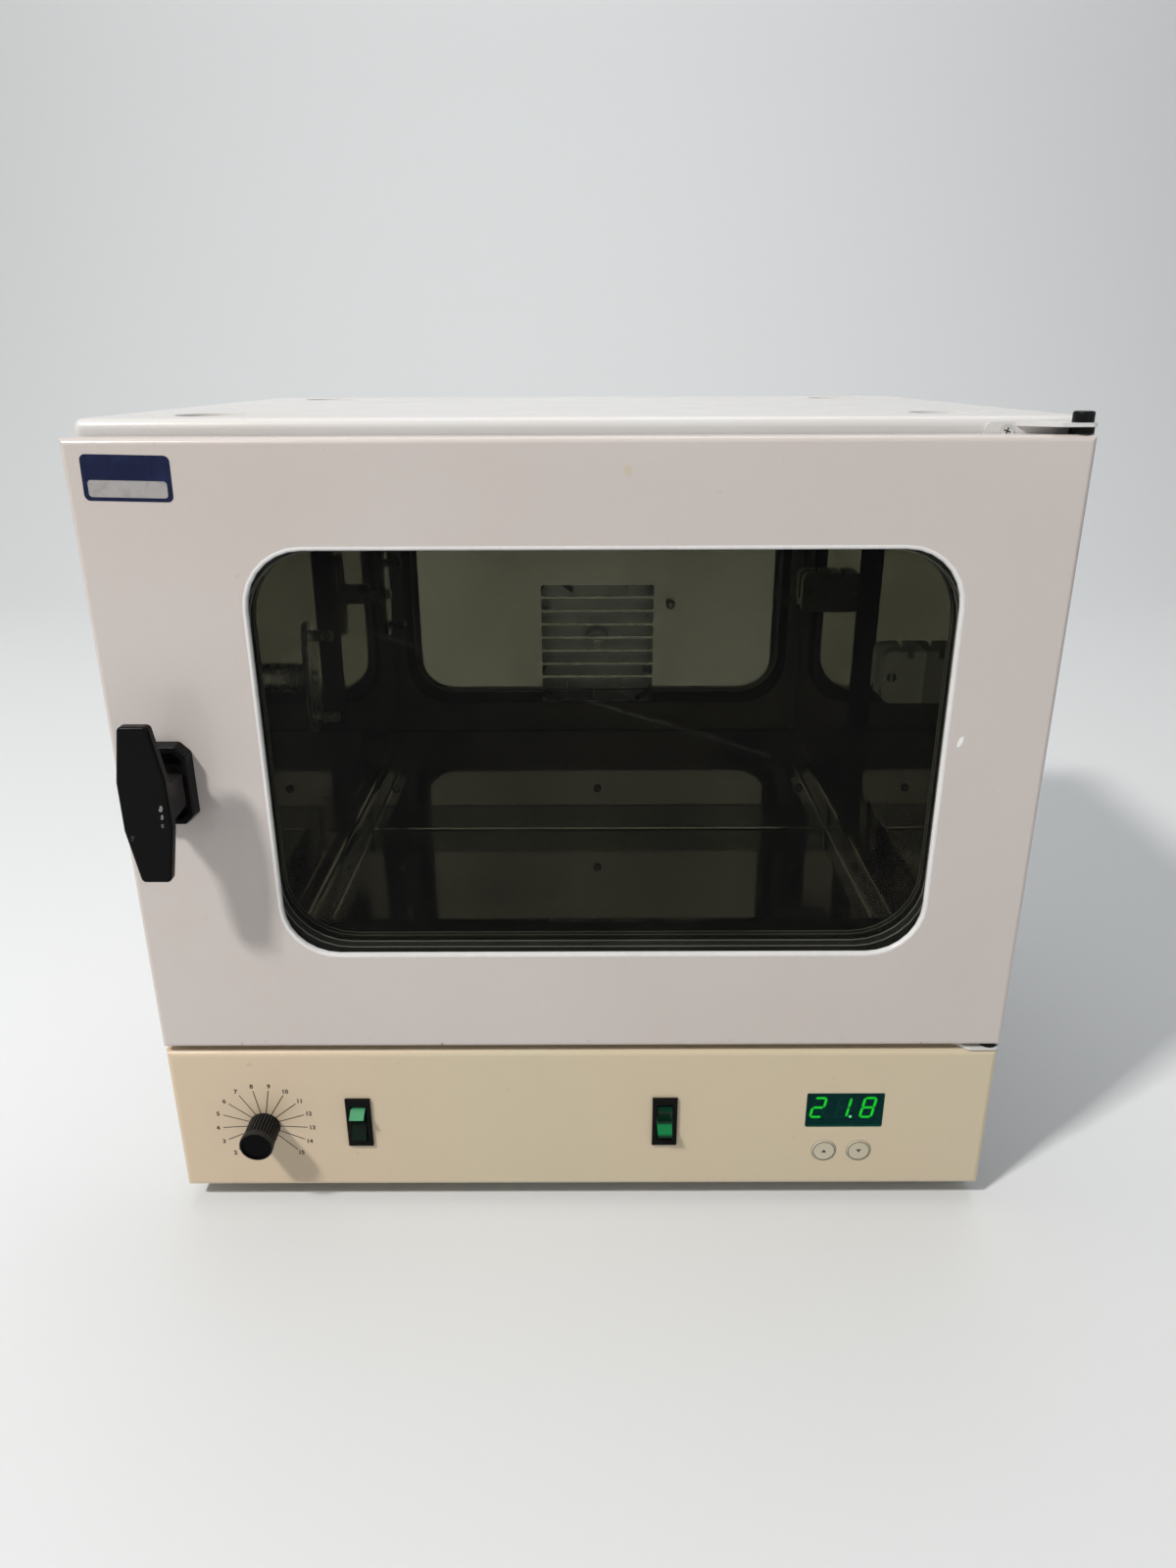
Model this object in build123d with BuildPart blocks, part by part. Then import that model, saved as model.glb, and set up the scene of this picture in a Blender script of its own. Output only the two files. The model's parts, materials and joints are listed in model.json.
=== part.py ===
from build123d import *
from math import radians, sin, cos
import os

os.makedirs("parts", exist_ok=True)

# A bench hybridization oven: a painted steel case with a polished chamber, a fan behind a
# slotted baffle, a rotor drive on the left wall and its bearing on the right wall, a
# side-hinged glazed door with a turning latch, and a control panel below the door.
# X runs to the right, Y to the back, Z up.  The origin is on the bench, at the middle of
# the whole object's footprint.  All sizes are in millimetres.

# ------------------------------------------------------------------ driving dimensions
# Outside
body_width = 410.0            # case, door and control panel share it
foot_height = 10.0
case_height = 376.9           # from the underside of the case to its top
case_depth = 304.0
panel_height = 82.4           # control panel, below the door
panel_gap = 3.4               # between control panel and door
door_top_inset = 6.8          # top of the door below the top of the case
door_thickness = 11.6
door_clearance = 2.2          # back of the door to the front of the case
handle_reach = 30.0           # front of the grip to the front of the door
inlet_flange = 2.2            # stands out behind the case
panel_setback = 1.2           # control panel front behind the door front

# Sheet and general fits
sheet = 1.2
case_corner = 4.0
fit_gap = 0.2                 # between pieces that drop into each other
running_gap = 0.05            # radial, shafts and pins in their bores
move_gap = 0.3                # between pieces that pass each other
screw_radius = 1.5
screw_head_radius = 2.8
screw_head_height = 1.6
screw_clearance = 0.15

# Chamber
chamber_side_margin = 34.5    # half of what the chamber leaves of the case's width
chamber_shift = 9.5           # the chamber and window lie right of the middle
chamber_floor_rise = 19.3     # above the top of the control panel
chamber_top_margin = 26.9     # ceiling below the top of the case
chamber_rear_margin = 53.8    # back wall in front of the case's back edge
chamber_corner = 6.0
liner_sheet = 1.0
liner_flange = 8.0
insulation_thickness = 18.0

# Baffle with its slots
baffle_space = 35.0           # behind the baffle, for fan and heater
baffle_side_gap = 7.2
baffle_top_gap = 9.0
slot_width = 70.7
slot_height = 7.0
slot_pitch = 8.53
slot_count = 9
slots_above_middle = 4.85     # all four heights count from the chamber's middle or ends
fan_above_middle = 2.65
baffle_screw_inset = 35.7     # from the chamber's side wall
baffle_screw_rise = 30.3      # lower row, above the chamber floor
baffle_screw_drop = 34.0      # upper row, below the ceiling
slot_corner = 0.8

# Tray
tray_side_gap = 15.25
tray_front_space = 53.5       # from the chamber's mouth to the tray
tray_lip = 16.5
tray_shift = 1.7              # right of the chamber's middle
tray_rear_gap = 1.5

# Rotor drive
axis_depth = 115.0            # behind the door's front face
axis_above_middle = 15.15     # above the chamber's middle
drive_shaft_radius = 4.0
boss_radius = 7.5
boss_length = 11.0
hub_length = 3.7
arm_thickness = 3.0
arm_width = 20.0
arm_length = 60.0
arm_taper = 12.0
drive_pin_radius = 3.0
drive_pin_length = 11.5
drive_pin_spacing = 45.0
arm_screw_radius = 2.0
block_width = 21.5
block_depth = 24.0
block_height = 28.0
block_below_axis = 12.0
axle_slot_radius = 4.3
catch_radius = 2.5

# Window
window_left_margin = 67.3     # from the door's edges to the window
window_right_margin = 46.7
window_top_margin = 44.7
window_bottom_margin = 52.6
window_corner = 24.0
gasket_lip = 1.6
gasket_flange = 7.0
glass_thickness = 3.0
glass_margin = 4.0
inner_corner = 30.0
inner_frame_depth = 20.5      # back of the inner glazing, from the door's front face

# Latch
latch_inset = 23.8            # grip axis from the door's left edge
latch_drop = 2.6              # below the door's middle
grip_height = 70.0
grip_width = 20.4
grip_end_width = 12.5
grip_straight = 21.7
grip_thickness = 5.6
neck_width = 18.8
neck_height = 20.4            # at its end; it widens towards the grip
neck_flare = 1.2
neck_length = 15.4
neck_boss_radius = 7.5
escutcheon_width = 23.0
escutcheon_height = 37.6
escutcheon_rise = 6.0
escutcheon_corner = 4.6
recess_width = 17.0
recess_height = 31.0
recess_floor = 2.0            # in front of the door
recess_corner = 3.4
shank_radius = 5.0
cam_length = 17.0
cam_width = 12.0
cam_thickness = 3.0
cam_gap = 2.2                 # behind the case front

# Hinge
hinge_inset = 5.0             # pin axis from the door's right edge
hinge_depth = 5.6             # pin axis behind the door's front face
hinge_pin_radius = 3.0
hinge_plate = 1.6
hinge_washer_upper = 2.9
hinge_washer_radius = 4.8
hinge_cap_radius = 4.2
hinge_cap_height = 4.3
hinge_cap_round = 0.9
hinge_bush_length = 14.0
hinge_bush_radius = 3.7
bracket_width = 41.0
bracket_drop = 12.0

# Controls.  Heights count from the panel's underside, insets from its nearer side
panel_wall = 2.0
display_inset = 72.9
display_z = 46.7
display_width = 38.6
display_height = 20.2
display_corner = 1.0
button_radius = 6.15
button_z = 21.7
up_button_inset = 81.6
down_button_inset = 63.9
button_proud = 0.4
button_travel = 0.5
switch_width = 12.6
switch_height = 28.3
switch_side = 2.4             # of the bezel, beside the rocker
switch_end = 3.6              # of the bezel, over and under the rocker
switch_proud = 1.6
switch_depth = 22.0
power_switch_x = 41.6         # right of the panel's middle
rotate_switch_inset = 92.5
switch_z = 40.5
rocker_tilt = 10.0
knob_inset = 44.5
knob_z = 38.4
knob_length = 16.0
knob_radius = 7.9
knob_cap_radius = 8.3
knob_cap_length = 2.8
knob_flutes = 30
knob_gap = 0.5
pot_shaft_radius = 3.0
board_width = 84.0
board_height = 62.0
board_thickness = 1.6
board_rise = 41.2             # its middle, above the panel's underside
board_depth = 14.0            # front of the board, behind the door's front face

# Feet, and the stacking dimples over them
foot_radius = 14.0
foot_side_inset = 47.0
foot_front_inset = 32.2       # front feet behind the case front
foot_rear_inset = 41.8
dimple_radius = 15.5
dimple_depth = 1.0

# ------------------------------------------------------------------ places worked out
overall_depth = handle_reach + door_thickness + door_clearance + case_depth + inlet_flange
door_front = handle_reach - overall_depth / 2
door_back = door_front + door_thickness
case_front = door_back + door_clearance
case_rear = case_front + case_depth
panel_front = door_front + panel_setback
side_inner = body_width / 2 - sheet

case_bottom = foot_height
case_top = case_bottom + case_height
case_middle_z = case_bottom + case_height / 2
panel_top = case_bottom + panel_height
door_bottom = panel_top + panel_gap
door_top = case_top - door_top_inset
door_height = door_top - door_bottom
door_middle_z = (door_bottom + door_top) / 2

chamber_width = body_width - 2 * chamber_side_margin
chamber_left = chamber_shift - chamber_width / 2
chamber_right = chamber_shift + chamber_width / 2
chamber_floor = panel_top + chamber_floor_rise
chamber_ceiling = case_top - chamber_top_margin
chamber_height = chamber_ceiling - chamber_floor
chamber_middle_z = (chamber_floor + chamber_ceiling) / 2
chamber_front = case_front + sheet
chamber_rear = case_rear - chamber_rear_margin
chamber_depth = chamber_rear - chamber_front
baffle_front = chamber_rear - baffle_space - liner_sheet

axis_y = door_front + axis_depth
axis_z = chamber_middle_z + axis_above_middle
slot_z = chamber_middle_z + slots_above_middle
fan_z = chamber_middle_z + fan_above_middle
window_width = body_width - window_left_margin - window_right_margin
window_height = door_height - window_top_margin - window_bottom_margin
window_shift = (window_left_margin - window_right_margin) / 2
window_middle_z = door_bottom + window_bottom_margin + window_height / 2
latch_x = latch_inset - body_width / 2
latch_z = door_middle_z - latch_drop
hinge_x = body_width / 2 - hinge_inset
hinge_y = door_front + hinge_depth

display_x = body_width / 2 - display_inset
up_button_x = body_width / 2 - up_button_inset
down_button_x = body_width / 2 - down_button_inset
rotate_switch_x = rotate_switch_inset - body_width / 2
knob_x = knob_inset - body_width / 2
foot_spacing_x = body_width - 2 * foot_side_inset
foot_spacing_y = case_depth - foot_front_inset - foot_rear_inset

screw_hole = screw_radius + screw_clearance


def front_plane(y):
    """The upright plane at depth y, seen from the front: x to the right, z up."""
    return Plane(origin=(0, y, 0), x_dir=(1, 0, 0), z_dir=(0, -1, 0))


def side_plane(x):
    """The upright plane at x, seen from the right: y across, z up, normal to the right."""
    return Plane(origin=(x, 0, 0), x_dir=(0, 1, 0), z_dir=(1, 0, 0))


# ------------------------------------------------------------------ case
# One folded wrap: front wall, sides and top, open below and behind, with a lip round the
# back that the rear panel screws to.  The front wall has the chamber's mouth, the slot
# that the latch tongue enters, and a bay behind the control panel.
mouth_corner = chamber_corner
cam_slot_margin = 1.5
cam_heel = 7.0
cam_slot_height = cam_heel + cam_length + 2 * cam_slot_margin
cam_slot_z = latch_z + (cam_length - cam_heel) / 2
rear_lip = 14.0
bottom_flange = 12.0
lip_corner = case_corner - sheet / 2
bay_margin = 16.0
bay_height = panel_height - bay_margin
foot_middle_y = case_front + foot_front_inset + foot_spacing_y / 2
upper_tab_z = door_top + hinge_washer_upper
hinge_screw_left = 27.2       # from the pin's axis
hinge_screw_right = 13.2
hinge_screw_drop = 2.0        # below the upper tab
hinge_screw_step = 5.5        # the right one lies lower
hinge_screw_rise = 5.5        # above the lower tab's underside
screw_end_inset = 40.0
upper_screws = [(hinge_x - hinge_screw_left, upper_tab_z - hinge_screw_drop),
                (hinge_x - hinge_screw_right, upper_tab_z - hinge_screw_drop - hinge_screw_step)]
lower_screws = [(hinge_x - hinge_screw_left, panel_top + hinge_screw_rise),
                (hinge_x - hinge_screw_right, panel_top + hinge_screw_rise)]
bottom_screw_x = side_inner - bottom_flange / 2
bottom_screw_places = [(x, y) for x in (-bottom_screw_x, bottom_screw_x)
                       for y in (case_front + screw_end_inset, case_rear - screw_end_inset)]
rear_screw_x = side_inner - rear_lip / 2
rear_screw_zs = [case_bottom + screw_end_inset, case_middle_z, case_top - screw_end_inset]

with BuildPart() as outer_case:
    with BuildSketch(front_plane(case_front)):
        with Locations((0, case_middle_z)):
            Rectangle(body_width, case_height)
    extrude(amount=-case_depth)
    front_edges = outer_case.faces().sort_by(Axis.Y)[0].edges().sort_by(Axis.Z)[1:]
    top_edges = outer_case.edges().filter_by(Axis.Y).group_by(Axis.Z)[-1]
    fillet(front_edges + top_edges, radius=case_corner)
    # four shallow dimples that take the feet of a second unit stacked on top
    with BuildSketch(Plane.XY.offset(case_top - dimple_depth)):
        with Locations((0, foot_middle_y)):
            with GridLocations(foot_spacing_x, foot_spacing_y, 2, 2):
                Circle(dimple_radius)
    extrude(amount=dimple_depth, mode=Mode.SUBTRACT)
    open_faces = [outer_case.faces().sort_by(Axis.Z)[0], outer_case.faces().sort_by(Axis.Y)[-1]]
    offset(amount=-sheet, openings=open_faces, kind=Kind.INTERSECTION)
    # lip behind, one sheet in from the back edge
    with BuildSketch(front_plane(case_rear - sheet)):
        with Locations((0, case_middle_z - sheet / 4)):
            RectangleRounded(body_width - sheet, case_height - sheet / 2, lip_corner)
        with Locations((0, case_middle_z - sheet - rear_lip)):
            Rectangle(2 * (side_inner - rear_lip), case_height, mode=Mode.SUBTRACT)
    extrude(amount=sheet)
    # flanges folded inwards along the bottom of both sides
    with BuildSketch(Plane.XY.offset(case_bottom)):
        with Locations((0, (case_front + case_corner + case_rear - sheet) / 2)):
            with GridLocations(2 * side_inner - bottom_flange + sheet / 2, 0, 2, 1):
                Rectangle(bottom_flange + sheet / 2, case_depth - case_corner - sheet)
    extrude(amount=sheet)
    # chamber mouth
    with BuildSketch(front_plane(case_front)):
        with Locations((chamber_shift, chamber_middle_z)):
            RectangleRounded(chamber_width, chamber_height, mouth_corner)
    extrude(amount=-sheet, mode=Mode.SUBTRACT)
    # latch slot and control bay
    with BuildSketch(front_plane(case_front)):
        with Locations((latch_x, cam_slot_z)):
            Rectangle(cam_width + 2 * cam_slot_margin, cam_slot_height)
        with Locations((0, case_bottom + panel_height / 2)):
            RectangleRounded(body_width - 2 * bay_margin, bay_height, mouth_corner)
    extrude(amount=-sheet, mode=Mode.SUBTRACT)
    # screw holes: hinge brackets, rear lip and bottom flanges
    with BuildSketch(front_plane(case_front)):
        with Locations(*(upper_screws + lower_screws)):
            Circle(screw_hole)
    extrude(amount=-sheet, mode=Mode.SUBTRACT)
    with BuildSketch(front_plane(case_rear - sheet)):
        with Locations(*[(x, z) for x in (-rear_screw_x, rear_screw_x) for z in rear_screw_zs]):
            Circle(screw_hole)
    extrude(amount=sheet, mode=Mode.SUBTRACT)
    with BuildSketch(Plane.XY.offset(case_bottom)):
        with Locations(*bottom_screw_places):
            Circle(screw_hole)
    extrude(amount=sheet, mode=Mode.SUBTRACT)
outer_case.part.label = "outer_case"
export_step(outer_case.part, "parts/outer_case.step")

# ------------------------------------------------------------------ base plate
# Lies on the case's bottom flanges and is screwed up against them; it carries the feet
# and the transformer and is vented in the middle.
base_sheet = 1.5
base_width = 2 * (side_inner - fit_gap)
base_front = case_front + sheet + fit_gap
base_depth = case_rear - 2 * sheet - fit_gap - base_front
base_middle_y = base_front + base_depth / 2
base_bottom = case_bottom + sheet
base_top = base_bottom + base_sheet
foot_stud_radius = 3.8
vent_length = 34.0
vent_width = 4.0
vent_pitch_x = 42.0
vent_pitch_y = 10.0
vent_columns = 4
vent_rows = 6

with BuildPart() as base_plate:
    with BuildSketch(Plane.XY.offset(base_bottom)):
        with Locations((0, base_middle_y)):
            RectangleRounded(base_width, base_depth, case_corner)
            with GridLocations(vent_pitch_x, vent_pitch_y, vent_columns, vent_rows):
                SlotOverall(vent_length, vent_width, mode=Mode.SUBTRACT)
        with Locations((0, foot_middle_y)):
            with GridLocations(foot_spacing_x, foot_spacing_y, 2, 2):
                Circle(foot_stud_radius + fit_gap, mode=Mode.SUBTRACT)
        with Locations(*bottom_screw_places):
            Circle(screw_hole, mode=Mode.SUBTRACT)
    extrude(amount=base_sheet)
base_plate.part.label = "base_plate"
export_step(base_plate.part, "parts/base_plate.step")

# ------------------------------------------------------------------ rear panel
# Nests inside the case's back edge, against the lip, with vents for the fan motor and
# for the electronics, and the cut-out for the mains inlet.
rear_width = 2 * (side_inner - fit_gap)
rear_height = case_height - sheet - fit_gap
rear_middle_z = case_bottom + rear_height / 2
inlet_inset = 65.0            # from the case's side
inlet_rise = 36.0
inlet_x = body_width / 2 - inlet_inset
inlet_z = case_bottom + inlet_rise
inlet_body_width = 27.0
inlet_body_height = 19.6
inlet_screw_spacing = 40.0
rear_vent_length = 40.0
rear_vent_pitch_x = 50.0
rear_vent_pitch_z = 9.0
rear_vent_columns = 3
rear_vent_rows = 8
low_vent_rows = 4
low_vent_inset = 115.0
low_vent_rise = 46.0
low_vent_x = low_vent_inset - body_width / 2
low_vent_z = case_bottom + low_vent_rise

with BuildPart() as rear_panel:
    with BuildSketch(front_plane(case_rear)):
        with Locations((0, rear_middle_z)):
            RectangleRounded(rear_width, rear_height, case_corner)
        with Locations((inlet_x, inlet_z)):
            Rectangle(inlet_body_width + 2 * fit_gap, inlet_body_height + 2 * fit_gap,
                      mode=Mode.SUBTRACT)
            with GridLocations(inlet_screw_spacing, 0, 2, 1):
                Circle(screw_hole, mode=Mode.SUBTRACT)
        with Locations(*[(x, z) for x in (-rear_screw_x, rear_screw_x) for z in rear_screw_zs]):
            Circle(screw_hole, mode=Mode.SUBTRACT)
        with Locations((chamber_shift, fan_z)):
            with GridLocations(rear_vent_pitch_x, rear_vent_pitch_z, rear_vent_columns, rear_vent_rows):
                SlotOverall(rear_vent_length, vent_width, mode=Mode.SUBTRACT)
        with Locations((low_vent_x, low_vent_z)):
            with GridLocations(rear_vent_pitch_x, rear_vent_pitch_z, rear_vent_columns, low_vent_rows):
                SlotOverall(rear_vent_length, vent_width, mode=Mode.SUBTRACT)
    extrude(amount=sheet)
rear_panel.part.label = "rear_panel"
export_step(rear_panel.part, "parts/rear_panel.step")

# ------------------------------------------------------------------ control panel
# A cream cover, open behind, with rounded front edges.  It sits on the case front below
# the door and holds the board on four bosses.
panel_depth = case_front - panel_front
panel_corner = 3.0
panel_middle_z = case_bottom + panel_height / 2
panel_inner = panel_front + panel_wall
board_front = door_front + board_depth
board_x = display_x
board_z = case_bottom + board_rise
board_hole_inset = 5.0
board_boss_radius = 3.2
peg_radius = 1.5
peg_proud = 0.6
switch_lip_side = 1.0         # of the bezel, on the panel
switch_lip_end = 1.5
switch_hole_width = switch_width - 2 * switch_lip_side
switch_hole_height = switch_height - 2 * switch_lip_end
switch_zs = case_bottom + switch_z
pot_bush_radius = 3.6

with BuildPart() as control_panel:
    with BuildSketch(front_plane(panel_front)):
        with Locations((0, panel_middle_z)):
            Rectangle(body_width, panel_height)
    extrude(amount=-panel_depth)
    fillet(control_panel.faces().sort_by(Axis.Y)[0].edges(), radius=panel_corner)
    with BuildSketch(front_plane(panel_inner)):
        with Locations((0, panel_middle_z)):
            Rectangle(body_width - 2 * panel_wall, panel_height - 2 * panel_wall)
    extrude(amount=-panel_depth, mode=Mode.SUBTRACT)
    inner_face = control_panel.faces().filter_by(Axis.Y).sort_by(Axis.Y)[1]
    fillet(inner_face.edges(), radius=panel_corner - panel_wall)
    with BuildSketch(front_plane(panel_inner)):
        with Locations((board_x, board_z)):
            with GridLocations(board_width - 2 * board_hole_inset,
                               board_height - 2 * board_hole_inset, 2, 2):
                Circle(board_boss_radius)
    extrude(amount=-(board_front - panel_inner))
    with BuildSketch(front_plane(board_front)):
        with Locations((board_x, board_z)):
            with GridLocations(board_width - 2 * board_hole_inset,
                               board_height - 2 * board_hole_inset, 2, 2):
                Circle(peg_radius)
    extrude(amount=-(board_thickness + peg_proud))
    with BuildSketch(front_plane(panel_front)):
        with Locations((display_x, case_bottom + display_z)):
            RectangleRounded(display_width + 2 * fit_gap, display_height + 2 * fit_gap,
                             display_corner)
        with Locations((up_button_x, case_bottom + button_z),
                       (down_button_x, case_bottom + button_z)):
            Circle(button_radius + move_gap)
        with Locations((power_switch_x, switch_zs), (rotate_switch_x, switch_zs)):
            Rectangle(switch_hole_width + 2 * fit_gap, switch_hole_height + 2 * fit_gap)
        with Locations((knob_x, case_bottom + knob_z)):
            Circle(pot_bush_radius + fit_gap)
    extrude(amount=-panel_wall, mode=Mode.SUBTRACT)
control_panel.part.label = "control_panel"
export_step(control_panel.part, "parts/control_panel.step")

# ------------------------------------------------------------------ chamber liner
# A five-sided polished box with a flange behind the case front.  Six welded posts on its
# back wall carry the baffle.
post_radius = 5.0
post_rows = [chamber_floor + baffle_screw_rise, chamber_ceiling - baffle_screw_drop]
post_columns = [chamber_left + baffle_screw_inset, chamber_shift,
                chamber_right - baffle_screw_inset]
post_places = [(x, z) for x in post_columns for z in post_rows]
fan_shaft_radius = 3.0
fan_shaft_hole = 5.0
heater_radius = 62.0
heater_tube = 3.25
heater_end_radius = 4.0
heater_leg_angle = 20.0
heater_leg_x = heater_radius * sin(radians(heater_leg_angle))
heater_leg_z = fan_z - heater_radius * cos(radians(heater_leg_angle))
probe_right = 45.9            # from the middle of the slots
probe_above = 26.0
probe_x = chamber_shift + probe_right
probe_z = slot_z + probe_above
probe_radius = 3.0
bush_spigot_radius = 5.8
bearing_screw_spacing = 15.0
bearing_screw_drop = 8.0
bearing_screw_z = axis_z - bearing_screw_drop
bearing_screw_ys = [axis_y - bearing_screw_spacing / 2, axis_y + bearing_screw_spacing / 2]

with BuildPart() as chamber_liner:
    with BuildSketch(front_plane(chamber_front)):
        with Locations((chamber_shift, chamber_middle_z)):
            RectangleRounded(chamber_width + 2 * liner_sheet, chamber_height + 2 * liner_sheet,
                             chamber_corner + liner_sheet)
    extrude(amount=-(chamber_depth + liner_sheet))
    with BuildSketch(front_plane(chamber_front)):
        with Locations((chamber_shift, chamber_middle_z)):
            RectangleRounded(chamber_width + 2 * liner_flange, chamber_height + 2 * liner_flange,
                             chamber_corner)
    extrude(amount=-liner_sheet)
    with BuildSketch(front_plane(chamber_front)):
        with Locations((chamber_shift, chamber_middle_z)):
            RectangleRounded(chamber_width, chamber_height, chamber_corner)
    extrude(amount=-chamber_depth, mode=Mode.SUBTRACT)
    with BuildSketch(front_plane(baffle_front + liner_sheet)):
        with Locations(*post_places):
            Circle(post_radius)
            Circle(screw_hole, mode=Mode.SUBTRACT)
    extrude(amount=-baffle_space)
    # holes in the back wall: fan shaft, heater legs, probe
    with BuildSketch(front_plane(chamber_rear)):
        with Locations((chamber_shift, fan_z)):
            Circle(fan_shaft_hole)
        with Locations((chamber_shift - heater_leg_x, heater_leg_z),
                       (chamber_shift + heater_leg_x, heater_leg_z)):
            Circle(heater_end_radius + fit_gap)
        with Locations((probe_x, probe_z)):
            Circle(probe_radius + fit_gap)
    extrude(amount=-liner_sheet, mode=Mode.SUBTRACT)
    # holes in the side walls: drive bush on the left, bearing screws on the right
    with BuildSketch(side_plane(chamber_left)):
        with Locations((axis_y, axis_z)):
            Circle(bush_spigot_radius + fit_gap)
    extrude(amount=-liner_sheet, mode=Mode.SUBTRACT)
    with BuildSketch(side_plane(chamber_right)):
        with Locations(*[(y, bearing_screw_z) for y in bearing_screw_ys]):
            Circle(screw_hole)
    extrude(amount=liner_sheet, mode=Mode.SUBTRACT)
chamber_liner.part.label = "chamber_liner"
export_step(chamber_liner.part, "parts/chamber_liner.step")

# ------------------------------------------------------------------ slotted baffle
# Air is drawn in through nine punched slots and leaves past the baffle's sides and top.
baffle_width = chamber_width - 2 * baffle_side_gap
baffle_foot_gap = 0.5
baffle_height = chamber_height - baffle_top_gap - baffle_foot_gap
baffle_middle_z = chamber_floor + baffle_foot_gap + baffle_height / 2
baffle_corner = 3.0

with BuildPart() as rear_baffle:
    with BuildSketch(front_plane(baffle_front)):
        with Locations((chamber_shift, baffle_middle_z)):
            RectangleRounded(baffle_width, baffle_height, baffle_corner)
        with Locations((chamber_shift, slot_z)):
            with GridLocations(0, slot_pitch, 1, slot_count):
                RectangleRounded(slot_width, slot_height, slot_corner, mode=Mode.SUBTRACT)
        with Locations(*post_places):
            Circle(screw_hole, mode=Mode.SUBTRACT)
        with Locations((probe_x, probe_z)):
            Circle(probe_radius + fit_gap, mode=Mode.SUBTRACT)
    extrude(amount=-liner_sheet)
rear_baffle.part.label = "rear_baffle"
export_step(rear_baffle.part, "parts/rear_baffle.step")

# ------------------------------------------------------------------ floor tray
# A shallow pan with upright lips and a rolled front rim, resting on the chamber floor.
tray_x = chamber_shift + tray_shift
tray_width = chamber_width - 2 * tray_side_gap
tray_back = baffle_front - tray_rear_gap
tray_depth = tray_back - chamber_front - tray_front_space
tray_middle_y = tray_back - tray_depth / 2
tray_corner = 4.0
tray_rim = 5.0
tray_rim_reach = 10.0
tray_rim_width = tray_width + 2 * tray_rim_reach

with BuildPart() as floor_tray:
    with BuildSketch(Plane.XY.offset(chamber_floor)):
        with Locations((tray_x, tray_middle_y)):
            RectangleRounded(tray_width, tray_depth, tray_corner)
    extrude(amount=tray_lip + liner_sheet)
    with BuildSketch(Plane.XY.offset(chamber_floor + liner_sheet)):
        with Locations((tray_x, tray_middle_y)):
            RectangleRounded(tray_width - 2 * liner_sheet, tray_depth - 2 * liner_sheet,
                             tray_corner - liner_sheet)
    extrude(amount=tray_lip, mode=Mode.SUBTRACT)
    # the front lip folds outwards into a narrow rim that spans the chamber
    with BuildSketch(Plane.XY.offset(chamber_floor + tray_lip)):
        with Locations((tray_x, tray_middle_y - tray_depth / 2 - tray_rim / 2 + liner_sheet)):
            Rectangle(tray_rim_width, tray_rim)
    extrude(amount=liner_sheet)
floor_tray.part.label = "floor_tray"
export_step(floor_tray.part, "parts/floor_tray.step")

# ------------------------------------------------------------------ insulation
# A sleeve of mineral wool round the chamber, with a pocket for the drive motor, and a pad
# behind the chamber with openings for motor, heater legs and probe.
jacket_setback = 13.2         # behind the case front, clear of the latch tongue
jacket_front = case_front + jacket_setback
jacket_width = chamber_width + 2 * (liner_sheet + insulation_thickness)
jacket_height = chamber_height + 2 * (liner_sheet + insulation_thickness)
jacket_corner = 10.0
back_pad_front = chamber_rear + liner_sheet
gear_size = 56.0              # square gearbox of the rotor drive
can_length = 58.0             # its motor, which hangs below it
pocket_room = 5.0
pocket_end_room = 8.0
pocket_half = gear_size / 2 + pocket_room
pocket_below = gear_size / 2 + can_length + pocket_end_room
motor_radius = 29.0           # fan motor
motor_room = 4.0
motor_opening = motor_radius + motor_room
leg_opening = 5.0

with BuildPart() as insulation_jacket:
    with BuildSketch(front_plane(jacket_front)):
        with Locations((chamber_shift, chamber_middle_z)):
            RectangleRounded(jacket_width, jacket_height, jacket_corner)
            RectangleRounded(chamber_width + 2 * liner_sheet + 2 * fit_gap,
                             chamber_height + 2 * liner_sheet + 2 * fit_gap,
                             chamber_corner + liner_sheet, mode=Mode.SUBTRACT)
    extrude(amount=-(chamber_rear - jacket_front))
    with BuildSketch(side_plane(chamber_left - liner_sheet)):
        with Locations((axis_y, axis_z + (pocket_half - pocket_below) / 2)):
            Rectangle(2 * pocket_half, pocket_half + pocket_below)
    extrude(amount=-2 * insulation_thickness, mode=Mode.SUBTRACT)
insulation_jacket.part.label = "insulation_jacket"
export_step(insulation_jacket.part, "parts/insulation_jacket.step")

with BuildPart() as insulation_back:
    with BuildSketch(front_plane(back_pad_front)):
        with Locations((chamber_shift, chamber_middle_z)):
            RectangleRounded(jacket_width, jacket_height, jacket_corner)
        with Locations((chamber_shift, fan_z)):
            Circle(motor_opening, mode=Mode.SUBTRACT)
        with Locations((chamber_shift - heater_leg_x, heater_leg_z),
                       (chamber_shift + heater_leg_x, heater_leg_z), (probe_x, probe_z)):
            Circle(leg_opening, mode=Mode.SUBTRACT)
    extrude(amount=-insulation_thickness)
insulation_back.part.label = "insulation_back"
export_step(insulation_back.part, "parts/insulation_back.step")

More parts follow.
